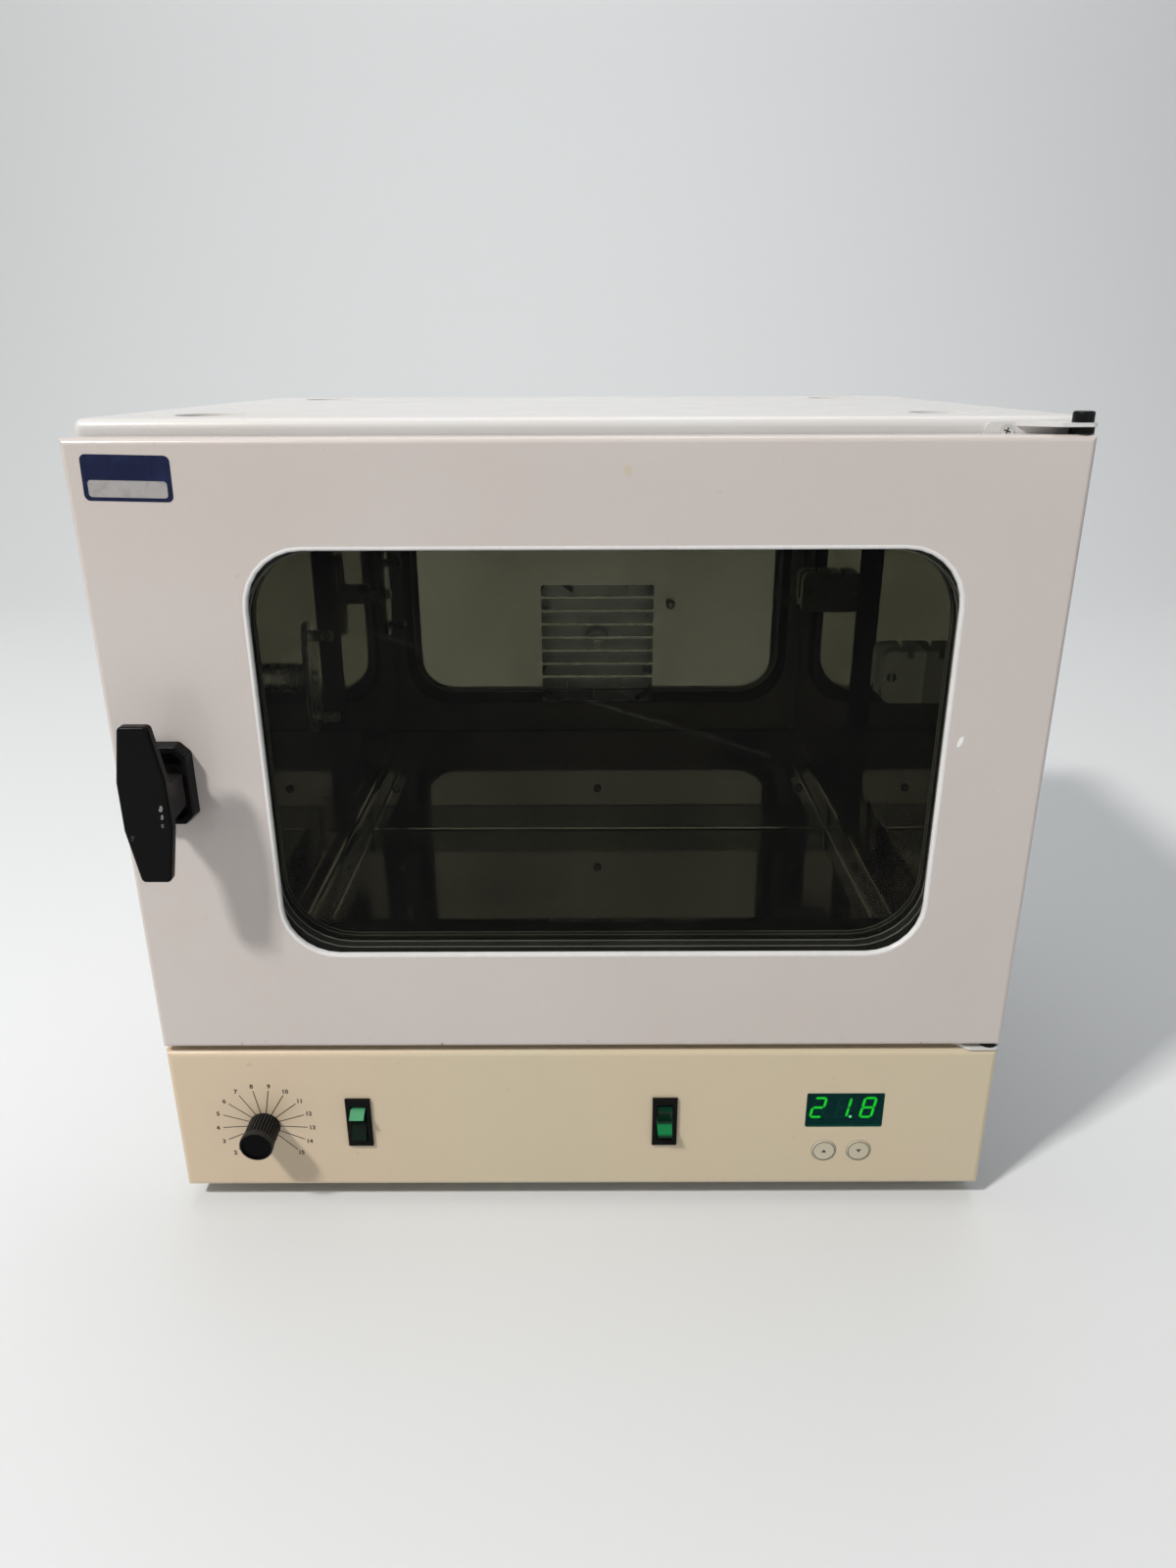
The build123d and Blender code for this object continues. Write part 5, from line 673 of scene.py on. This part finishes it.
node_finish = {"door_shell": white_paint("door_paint", marked=True),
               # Painted shade: the tray is darker than the rest of the chamber's steel
               "floor_tray": slot_finish["shaded_tray_steel"],
               "outer_glass": clear_pane("outer_pane", PANE_TINT, 0.35,
                                         hairlines=SCRATCHES, glare=1.16),
               "latch_handle": worn_grip("worn_grip"),
               "speed_knob": fluted_knob("fluted_knob"),
               # Painted shade on the baffle screws' heads
               "baffle_screws": slot_finish["shaded_screw"],
               "power_rocker": green_rocker("power_green", (0.004, 0.035, 0.017),
                                            (0.002, 0.018, 0.009),
                                            switch_middle + GLOW_FROM,
                                            switch_middle + GLOW_TO, 0.30)}
for row in frame["record"]["subparts"]:
    materials = nodes[row["node"]].data.materials
    materials.clear()
    materials.append(node_finish.get(row["node"], slot_finish[row["material_slot"]]))
print("finishes:", len(bpy.data.materials))

# %% [markdown]
# The studio sheet is pale and even. The sky is plain grey light for the oven, but the
# camera, mirrors and glass see it as a pale wall.

# %% Studio finishes
SHEET_GREY, SKY_LIGHT, SKY_SHOWN = (0.70, 0.715, 0.72), (0.93, 0.96, 1.0), (0.80, 0.81, 0.82)
SKY_STRENGTH, SKY_SHOWN_STRENGTH = 0.19, 0.9

sheet_finish, tree, shader = new_finish("studio_sheet")
shader.inputs["Base Color"].default_value = (*SHEET_GREY, 1.0)
shader.inputs["Roughness"].default_value = 0.8
backdrop.data.materials.append(sheet_finish)

world = bpy.data.worlds.new("studio_world")
bpy.context.scene.world = world
world.use_nodes = True
tree = world.node_tree
plain = tree.nodes["Background"]
plain.inputs["Color"].default_value = (*SKY_LIGHT, 1.0)
plain.inputs["Strength"].default_value = SKY_STRENGTH
shown = put(tree, "ShaderNodeBackground", Color=(*SKY_SHOWN, 1.0), Strength=SKY_SHOWN_STRENGTH)
rays = put(tree, "ShaderNodeLightPath")
seen = combine(tree, "MAXIMUM", rays.outputs["Is Camera Ray"],
               combine(tree, "MAXIMUM", rays.outputs["Is Glossy Ray"],
                       rays.outputs["Is Transmission Ray"]))
choice = mix_shaders(tree, seen, plain, shown)
tree.links.new(choice.outputs[0], tree.nodes["World Output"].inputs["Surface"])

# %% [markdown]
# ## Flat shapes that lie on the front
# Print, stickers and segments of the display are all thin plates: an outline in x and z,
# given a front, a back and a rim. One function makes a plate from an outline, and another
# joins many plates into one piece, so that a whole dial is a single object.

# %% Plates


def plate_faces(count):
    """A front face over the first points, a back face over the next, and quads between."""
    index = np.arange(count)
    after = (index + 1) % count
    rim = np.stack([index, index + count, after + count, after], axis=1)
    return [list(index), list(index[::-1] + count)] + rim.tolist()


def set_at(outline, depth, lying=False):
    """An outline as points. Depth is y for an upright outline and z for a lying one."""
    level = np.full(len(outline), depth)
    return np.column_stack([outline, level] if lying else [outline[:, 0], level, outline[:, 1]])


def plate(outline, front_y, thickness):
    """Points and faces of a plate. The outline runs anticlockwise as seen from the front."""
    layers = [set_at(outline, y) for y in (front_y, front_y + thickness)]
    return np.vstack(layers), plate_faces(len(outline))


def joined_rings(rings):
    """Points and faces of a closed tube through the rings, each joined to the next."""
    count = len(rings[0])
    faces = grid_faces(len(rings) + 1, count, wrap=True) % (len(rings) * count)
    return np.vstack(rings), faces.tolist()


def turn_outline(outline, angle, centre=(0.0, 0.0)):
    """The outline turned by the angle in radians about the centre."""
    spin = np.array([[math.cos(angle), math.sin(angle)], [-math.sin(angle), math.cos(angle)]])
    return (outline - np.array(centre)) @ spin + centre


def circle(count):
    """Points of a unit circle, anticlockwise from the right."""
    angle = np.linspace(0, 2 * np.pi, count, endpoint=False)
    return np.column_stack([np.cos(angle), np.sin(angle)])


def join(parts):
    """Points and faces of several plates as one mesh."""
    points, faces, start = [], [], 0
    for part_points, part_faces in parts:
        points.append(part_points)
        faces += [[v + start for v in f] for f in part_faces]
        start += len(part_points)
    return np.vstack(points), faces


def rounded(width, height, radius, centre=(0.0, 0.0), steps=8):
    """Outline of a rectangle with quarter-circle corners, anticlockwise from the right."""
    quarter = np.linspace(0, np.pi / 2, steps)
    corners = [(1, 1, 0), (-1, 1, 1), (-1, -1, 2), (1, -1, 3)]
    rows = [np.column_stack([
        centre[0] + sx * (width / 2 - radius) + radius * np.cos(quarter + k * np.pi / 2),
        centre[1] + sz * (height / 2 - radius) + radius * np.sin(quarter + k * np.pi / 2)])
        for sx, sz, k in corners]
    return np.vstack(rows)


def printed(name, parts, body, slot, finish=None):
    """Makes one piece of the parts that rides on the body, in its slot's or its own finish."""
    made = mesh_object(name, *join(parts))
    made.data.materials.append(finish or slot_finish[slot])
    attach(made, body)
    print(name, "has", len(made.data.polygons), "faces")
    return made


# %% [markdown]
# ## Window edge, rubber and ledge
# Round the window the door's sheet rolls inwards, so its lower edge catches the light as a
# white line, helped by paint lighter than the door's, a painted highlight. Behind it a rubber
# channel holds the outer pane, and it stands for the CAD gasket here. Further in, a black
# frame holds the second pane. Its opening is wider than the window, so from the front it
# shows only as dark corners and as a ledge at the bottom, with a few raised lines round it,
# coloured a lighter grey than the rubber as a painted highlight. Each of these is a closed
# cross-section carried round a rounded rectangle: every point of the cross-section gives its
# own ring, and neighbouring rings are joined by quads.

# %% Window edge, rubber and ledge


def swept_ring(section, width, height, corner, centre, lying=False):
    """A closed cross-section, as (distance outside the outline, depth), carried round it.

    Seen from the front it goes in along its front and out along its back.
    """
    return joined_rings([set_at(rounded(width + 2 * out, height + 2 * out, corner + out, centre),
                                depth, lying) for out, depth in section])


PANE_HELD = 4.0 * MM             # of each pane, behind its rubber on every side
EDGE_DEPTH, SHEET_EDGE, CHANNEL_FRONT, EDGE_SMOOTH = 1.95 * MM, 1.0 * MM, 1.25 * MM, 60.0
SLIT, PANE_SLIT = 0.05 * MM, 0.1 * MM
WINDOW_CORNER, LEDGE_CORNER, LEDGE_WIDER = 24.0 * MM, 32.0 * MM, 7.2 * MM
pane_low, pane_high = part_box("outer_glass")
window_width = pane_high.x - pane_low.x - 2 * PANE_HELD
window_height = pane_high.z - pane_low.z - 2 * PANE_HELD
window_centre = middle_of("outer_glass")
window = (window_width, window_height, WINDOW_CORNER, window_centre)
# Distances outside the window and behind the door's face, in millimetres
ROLLED_EDGE = ((2.3, -0.01), (1.9, -0.11), (1.5, -0.14), (1.15, -0.06), (0.85, 0.14),
               (0.65, 0.45), (0.55, 0.9), (0.5, 1.95), (0.95, 1.95), (0.95, 0.05), (2.3, 0.03))
# The rolled edge's paint is lighter than the door's: a painted highlight.
lit_edge_paint = moulded("lit_edge_paint", (0.76, 0.75, 0.74), (0.72, 0.71, 0.70), (0.22, 0.32))
edge = [(out * MM, door_front + depth * MM) for out, depth in ROLLED_EDGE]
smooth(printed("window_edge", [swept_ring(edge, *window)], "door", "white_paint", lit_edge_paint),
       EDGE_SMOOTH)

gasket_low, gasket_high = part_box("window_gasket")
flange = (gasket_high.x - gasket_low.x - window_width) / 2
channel = [(flange, door_front + CHANNEL_FRONT), (SHEET_EDGE + SLIT, door_front + CHANNEL_FRONT),
           (SHEET_EDGE + SLIT, door_front + EDGE_DEPTH),
           (PANE_HELD + PANE_SLIT, door_front + EDGE_DEPTH),
           (PANE_HELD + PANE_SLIT, gasket_high.y), (flange, gasket_high.y)]
rubber = printed("window_rubber", [swept_ring(channel, *window)], "door", "black_rubber")
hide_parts("window_gasket")

frame_low, frame_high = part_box("inner_glass_frame")
second_low, second_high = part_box("inner_glass")
GROOVE, FLANGE_THICK, BODY_CORNER, FLANGE_CORNER = 0.2 * MM, 1.4 * MM, 30.0 * MM, 35.0 * MM
opening = (window_width + LEDGE_WIDER, window_height, LEDGE_CORNER, window_centre)
groove = (second_high.x - second_low.x + 2 * GROOVE, second_high.z - second_low.z + 2 * GROOVE,
          BODY_CORNER, window_centre)
body = (2 * flange + window_width, 2 * flange + window_height, BODY_CORNER, window_centre)
rim = (frame_high.x - frame_low.x, frame_high.z - frame_low.z, FLANGE_CORNER, window_centre)
groove_front, groove_back = second_low.y - GROOVE, second_high.y + GROOVE
rim_front, rim_back = door_high.y, door_high.y + FLANGE_THICK
frame_rings = [(body, frame_low.y), (opening, frame_low.y), (opening, groove_front),
               (groove, groove_front), (groove, groove_back), (opening, groove_back),
               (opening, frame_high.y), (body, frame_high.y), (body, rim_back),
               (rim, rim_back), (rim, rim_front), (body, rim_front)]
pane_frame = printed("pane_frame",
                     [joined_rings([set_at(rounded(*shape), y) for shape, y in frame_rings])],
                     "door", "black_rubber")
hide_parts("inner_glass_frame")

RIB_DEPTHS, RIB_PROUD, RIB_HALF, RIB_STEPS = (5.9, 11.4, 17.2, 20.1), 0.35 * MM, 0.30 * MM, 7
# The ribs are painted a lighter grey than the rubber: a painted highlight.
lit_rib_grey = moulded("lit_rib_grey", (0.23, 0.23, 0.22), (0.32, 0.31, 0.30), (0.25, 0.4))
half = np.linspace(0, np.pi, RIB_STEPS)
ribs = [swept_ring(np.column_stack([SLIT - RIB_PROUD * np.sin(half),
                                    door_front + depth * MM - RIB_HALF * np.cos(half)]), *opening)
        for depth in RIB_DEPTHS]
smooth(printed("ledge_lines", ribs, "door", "black_rubber", lit_rib_grey))

# %% [markdown]
# ## Folded corner of the tray
# Where the tray's floor turns up into its walls, the sheet has a small hollow radius. A
# polished hollow gathers light from every side, and shows as a thin bright line. It is a
# quarter circle carried round the tray's floor.

# %% Tray bend
TRAY_RIM_REACH, TRAY_RIM, TRAY_SHEET = 10.0 * MM, 5.0 * MM, 1.0 * MM
TRAY_CORNER, TRAY_BEND, TRAY_BEND_STEPS = 4.0 * MM, 2.2 * MM, 9
tray_low, tray_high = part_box("floor_tray")
tray_left = tray_low.x + TRAY_RIM_REACH + TRAY_SHEET
tray_right = tray_high.x - TRAY_RIM_REACH - TRAY_SHEET
tray_near, tray_far = tray_low.y + TRAY_RIM, tray_high.y - TRAY_SHEET
tray_floor = tray_low.z + TRAY_SHEET
quarter = np.linspace(0, np.pi / 2, TRAY_BEND_STEPS)
hollow = np.column_stack([TRAY_BEND * (np.cos(quarter) - 1),
                          tray_floor + TRAY_BEND * (1 - np.sin(quarter))])
sheet_side = [(SLIT, tray_floor - SLIT), (SLIT, tray_floor + TRAY_BEND)]
bend = swept_ring(np.vstack([hollow, sheet_side]), tray_right - tray_left, tray_far - tray_near,
                  TRAY_CORNER - TRAY_SHEET,
                  ((tray_left + tray_right) / 2, (tray_near + tray_far) / 2), lying=True)
smooth(printed("tray_bend", [bend], "cabinet", "polished_steel"))

# %% [markdown]
# ## Speed dial
# Fourteen fine lines fan out from the knob to the numbers 2 to 15. They share out the 270
# degrees that the knob turns. The lines are plates turned about the knob's axis. Each
# number is a text object that is made a mesh before it gets its place.

# %% Speed dial
panel_front = panel_low.y
PRINT_PROUD, PRINT_SUNK = 0.03 * MM, 0.02 * MM
PRINT_THICK = PRINT_PROUD + PRINT_SUNK
FIRST_NUMBER, LAST_NUMBER = 2, 15
FIRST_ANGLE, DIAL_SWEEP = 225.0, 270.0
TICK_INNER, TICK_OUTER, TICK_WIDTH = 6.0 * MM, 21.3 * MM, 0.48 * MM
NUMBER_RADIUS, NUMBER_HEIGHT, NUMBER_BOLD = 24.0 * MM, 2.4 * MM, 0.13 * MM
SIZE_TO_HEIGHT = 1.38            # a font's size over the height of its numerals

print_ink = moulded("print_ink", (0.020, 0.013, 0.010), (0.040, 0.026, 0.020), (0.45, 0.6))


def dial_angle(number):
    """The direction of a number on the dial: 2 is at the lower left, 15 at the lower right."""
    step = DIAL_SWEEP / (LAST_NUMBER - FIRST_NUMBER)
    return math.radians(FIRST_ANGLE - (number - FIRST_NUMBER) * step)


def dial_tick(number):
    """A slim rectangle along the number's direction."""
    a = dial_angle(number)
    along, across = np.array([math.cos(a), math.sin(a)]), np.array([-math.sin(a), math.cos(a)])
    half = across * TICK_WIDTH / 2
    outline = np.array([along * TICK_INNER - half, along * TICK_OUTER - half,
                        along * TICK_OUTER + half, along * TICK_INNER + half])
    return plate(outline + (knob_x, knob_z), panel_front - PRINT_PROUD, PRINT_THICK)


def text_mesh(words, height, centre_x, centre_z, front_y):
    """Points and faces of words as flat shapes of that height, centred on a place."""
    curve = bpy.data.curves.new("words", "FONT")
    curve.body, curve.size = words, height * SIZE_TO_HEIGHT
    curve.align_x, curve.align_y = "CENTER", "CENTER"
    curve.extrude, curve.resolution_u = PRINT_THICK / 2, 3
    curve.offset = NUMBER_BOLD
    holder = bpy.data.objects.new("words", curve)
    mesh = bpy.data.meshes.new_from_object(holder)
    points = np.zeros(len(mesh.vertices) * 3)
    mesh.vertices.foreach_get("co", points)
    points = points.reshape(-1, 3)
    faces = [list(f.vertices) for f in mesh.polygons]
    bpy.data.objects.remove(holder)
    bpy.data.meshes.remove(mesh)
    bpy.data.curves.remove(curve)
    points -= (points.min(0) + points.max(0)) / 2
    return np.column_stack([points[:, 0] + centre_x,
                            front_y - points[:, 2] + (PRINT_SUNK - PRINT_PROUD) / 2,
                            points[:, 1] + centre_z]), faces


def number_mesh(number):
    """A number at the outer end of its line."""
    a = dial_angle(number)
    return text_mesh(str(number), NUMBER_HEIGHT, knob_x + NUMBER_RADIUS * math.cos(a),
                     knob_z + NUMBER_RADIUS * math.sin(a), panel_front)


numbers = range(FIRST_NUMBER, LAST_NUMBER + 1)
printed("dial_lines", [dial_tick(n) for n in numbers], "cabinet", "black_enamel", print_ink)
printed("dial_numbers", [number_mesh(n) for n in numbers], "cabinet", "black_enamel",
        print_ink)

# %% [markdown]
# ## Display digits
# The digits glow behind the dark window, on the front of the display module. A digit is
# seven segments, each a bar with pointed ends, sheared by ten degrees. Segments that are
# off are still faintly there, as they are in a real display.

# %% Display digits
module_x, module_z = middle_of("display_module")
DIGIT_WIDTH, DIGIT_HEIGHT, DIGIT_PITCH = 7.0 * MM, 12.8 * MM, 12.6 * MM
SEGMENT_WIDTH, SEGMENT_GAP = 1.28 * MM, 0.18 * MM
SEGMENT_THICK, SEGMENT_LIFT = 0.06 * MM, 0.08 * MM
SLANT = math.tan(math.radians(10.0))
DIGIT_DROP = 0.9 * MM
DOT_RADIUS, DOT_RIGHT, DOT_UP, DOT_AFTER = 0.75 * MM, 4.0 * MM, 0.8 * MM, 1
LIT_BY_DIGIT = ("abged", "bc", "abcdefg")    # two, one and eight
segment_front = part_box("display_module")[0].y - SEGMENT_LIFT


def segment_ends(letter):
    """Both ends of a segment's centre line, as fractions of the digit's half size."""
    return {"a": ((-1, 1), (1, 1)), "g": ((-1, 0), (1, 0)), "d": ((-1, -1), (1, -1)),
            "b": ((1, 0), (1, 1)), "c": ((1, -1), (1, 0)),
            "f": ((-1, 0), (-1, 1)), "e": ((-1, -1), (-1, 0))}[letter]


def segment(letter, centre_x, centre_z):
    """A six-pointed bar along the segment's line, sheared to the right by its height."""
    half = np.array([DIGIT_WIDTH, DIGIT_HEIGHT]) / 2 - SEGMENT_WIDTH / 2
    start, end = (np.array(p) * half for p in segment_ends(letter))
    along = (end - start) / np.linalg.norm(end - start)
    across = np.array([-along[1], along[0]]) * SEGMENT_WIDTH / 2
    start, end = start + along * SEGMENT_GAP, end - along * SEGMENT_GAP
    inset = along * SEGMENT_WIDTH / 2
    outline = np.array([start, start + inset - across, end - inset - across, end,
                        end - inset + across, start + inset + across])
    outline[:, 0] += outline[:, 1] * SLANT
    return plate(outline + (centre_x, centre_z), segment_front, SEGMENT_THICK)


def glow(name, colour, strength, base):
    """Plastic that shines by itself, a little unevenly."""
    made, tree, shader = new_finish(name)
    shader.inputs["Base Color"].default_value = (*base, 1.0)
    shader.inputs["Emission Color"].default_value = (*colour, 1.0)
    tree.links.new(patchy(tree, place_of(tree), 500.0, strength * 0.85, strength * 1.1),
                   shader.inputs["Emission Strength"])
    shader.inputs["Roughness"].default_value = 0.4
    return made


lit_green = glow("lit_green", (0.07, 1.0, 0.014), 2.5, (0.02, 0.3, 0.05))
dot_green = glow("dot_green", (0.9, 1.0, 0.5), 3.2, (0.2, 0.4, 0.2))
unlit_green = moulded("unlit_green", (0.030, 0.085, 0.080), (0.025, 0.075, 0.070), (0.4, 0.5))
lit, unlit, dots = [], [], []
for column, lit_letters in enumerate(LIT_BY_DIGIT):
    x, z = module_x + (column - 1) * DIGIT_PITCH, module_z - DIGIT_DROP
    for letter in "abcdefg":
        (lit if letter in lit_letters else unlit).append(segment(letter, x, z))
for column in range(len(LIT_BY_DIGIT)):
    x, z = module_x + (column - 1) * DIGIT_PITCH, module_z - DIGIT_DROP
    dot = circle(24) * DOT_RADIUS + (x + DOT_RIGHT, z - DIGIT_HEIGHT / 2 + DOT_UP)
    (dots if column == DOT_AFTER else unlit).append(plate(dot, segment_front, SEGMENT_THICK))
for name, parts, finish in (("lit_segments", lit, lit_green), ("lit_dot", dots, dot_green),
                            ("unlit_segments", unlit, unlit_green)):
    printed(name, parts, "cabinet", "dark_window", finish)

# %% [markdown]
# ## Buttons
# Each button has a thin grey ring round its face and a small arrow head, up or down.

# %% Button print
RING_WIDTH, RING_INSET, ARROW_WIDTH, ARROW_HEIGHT = 0.42 * MM, 0.52 * MM, 2.8 * MM, 2.0 * MM
ring_grey = moulded("ring_grey", (0.020, 0.018, 0.015), (0.035, 0.031, 0.027), (0.4, 0.55))
# The button's face is narrower than the flange behind it, which its box measures
BUTTON_SHARE = 6.15 / 7.4


def button_print(node, way):
    """A ring inside the button's edge and an arrow head that points up (1) or down (-1)."""
    low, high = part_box(node)
    centre, face = middle_of(node), low.y - PRINT_PROUD
    outer = (high.x - low.x) / 2 * BUTTON_SHARE - RING_INSET
    ring = [set_at(circle(64) * radius + centre, y)
            for radius, y in ((outer, face), (outer - RING_WIDTH, face),
                              (outer - RING_WIDTH, face + PRINT_THICK),
                              (outer, face + PRINT_THICK))]
    arrow = np.array([(-0.5, -0.5 * way), (0.5, -0.5 * way), (0.0, 0.5 * way)])[::way]
    arrow = arrow * (ARROW_WIDTH, ARROW_HEIGHT) + centre
    return [joined_rings(ring), plate(arrow, face, PRINT_THICK)]


printed("up_mark", button_print("up_button", 1), "button_up", "cream_plastic", ring_grey)
printed("down_mark", button_print("down_button", -1), "button_down", "cream_plastic",
        ring_grey)

# %% [markdown]
# ## Door sticker
# A blue sticker with a silver strip sits in the door's corner, a little askew. Each part is
# a rounded plate about a tenth of a millimetre thick or less.

# %% Door sticker
STICKER_WIDTH, STICKER_HEIGHT, STICKER_CORNER = 35.6 * MM, 18.0 * MM, 2.4 * MM
STICKER_LEFT, STICKER_TOP, STICKER_TILT = 7.35 * MM, 6.25 * MM, math.radians(-1.3)
STRIP_WIDTH, STRIP_HEIGHT, STRIP_RISE, STRIP_CORNER = 31.6 * MM, 6.6 * MM, 1.5 * MM, 1.4 * MM
STICKER_THICK, STRIP_THICK = 0.10 * MM, 0.03 * MM


def foil(name, colour, second, rough, metallic):
    """Printed foil with fine wrinkles and rubbed patches."""
    made, tree, shader = new_finish(name)
    place = place_of(tree)
    rubbed = between(tree, noise(tree, place, 120.0, 5.0, 0.7), 0.45, 0.75)
    feed(tree, shader, blend_colours(tree, rubbed, colour, second),
         patchy(tree, place, 300.0, *rough), mirror=0.2)
    shader.inputs["Metallic"].default_value = metallic
    raise_bumps(tree, shader, noise(tree, place, 160.0, 3.0), 0.00008)
    return made


blue_foil = foil("blue_foil", (0.005, 0.008, 0.036), (0.010, 0.017, 0.062), (0.28, 0.42), 0.0)
silver_foil = foil("silver_foil", (0.42, 0.40, 0.39), (0.30, 0.29, 0.285), (0.3, 0.45), 0.5)
sticker_x = door_low.x + STICKER_LEFT + STICKER_WIDTH / 2
sticker_z = door_high.z - STICKER_TOP - STICKER_HEIGHT / 2
strip_z = sticker_z + STRIP_RISE + STRIP_HEIGHT / 2 - STICKER_HEIGHT / 2


def sticker_part(name, shape, level, thickness, finish):
    """A rounded plate on the door, turned with the whole sticker about its middle."""
    outline = turn_outline(rounded(*shape), STICKER_TILT, (sticker_x, sticker_z))
    printed(name, [plate(outline, door_front - level, thickness)], "door", "white_plastic",
            finish)


sticker_part("sticker", (STICKER_WIDTH, STICKER_HEIGHT, STICKER_CORNER, (sticker_x, sticker_z)),
             STICKER_THICK, STICKER_THICK, blue_foil)
sticker_part("sticker_strip", (STRIP_WIDTH, STRIP_HEIGHT, STRIP_CORNER, (sticker_x, strip_z)),
             STICKER_THICK + STRIP_THICK, STRIP_THICK, silver_foil)

# %% [markdown]
# ## Crosses in the screw heads
# The screws that show have cross slots. Each is a plus-shaped plate on the head, turned at
# random, because nobody lines screws up. The baffle screws' heads are painted dark, a painted
# shade, and their slots bright steel, a painted highlight. The other slots are dark as painted
# shade in the recess.

# %% Screw crosses
random = np.random.default_rng(7)
# The dark crosses are painted shade in the slots.
recess_shade = moulded("recess_shade", (0.012, 0.011, 0.010), (0.03, 0.028, 0.026), (0.5, 0.7))
CROSS_LENGTH, CROSS_WIDTH = 2.9 * MM, 0.62 * MM
HEAD_REACH = 7.5 * MM            # wider than a head, and less than the gap between heads


def cross_outline():
    """A plus sign as twelve corners, anticlockwise."""
    a, b = CROSS_LENGTH / 2, CROSS_WIDTH / 2
    return np.array([(a, -b), (a, b), (b, b), (b, a), (-b, a), (-b, b), (-a, b), (-a, -b),
                     (-b, -b), (-b, -a), (b, -a), (b, -b)])


def heads_of(node, axis):
    """Middles of a node's screw heads: a point's head is all that lies within reach of it."""
    mesh = nodes[node].data
    points = np.zeros(len(mesh.vertices) * 3)
    mesh.vertices.foreach_get("co", points)
    flat = np.delete(points.reshape(-1, 3), axis, axis=1)
    middles = []
    while len(flat):
        near = np.linalg.norm(flat - flat[0], axis=1) < HEAD_REACH
        middles.append((flat[near].min(0) + flat[near].max(0)) / 2)
        flat = flat[~near]
    return middles


def crosses(node, axis, finish):
    """Crosses on all heads of a node whose screws run along an axis and face its low end."""
    face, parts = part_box(node)[0][axis], []
    for middle in heads_of(node, axis):
        outline = turn_outline(cross_outline(), random.uniform(0, np.pi / 2)) + middle
        layers = [np.insert(outline, axis, level, axis=1) for level in (face - PRINT_PROUD, face)]
        faces = plate_faces(len(outline))
        parts.append((np.vstack(layers), faces if axis == 1 else [f[::-1] for f in faces]))
    printed(node[:-1] + "_crosses", parts, "cabinet", "black_enamel", finish)


# The baffle screws' crosses are bright steel: a painted highlight.
crosses("baffle_screws", 1, slot_finish["turned_steel"])
# Painted shade in the slots of the hinge and bearing screws
crosses("hinge_screws", 1, recess_shade)
crosses("bearing_screws", 0, recess_shade)
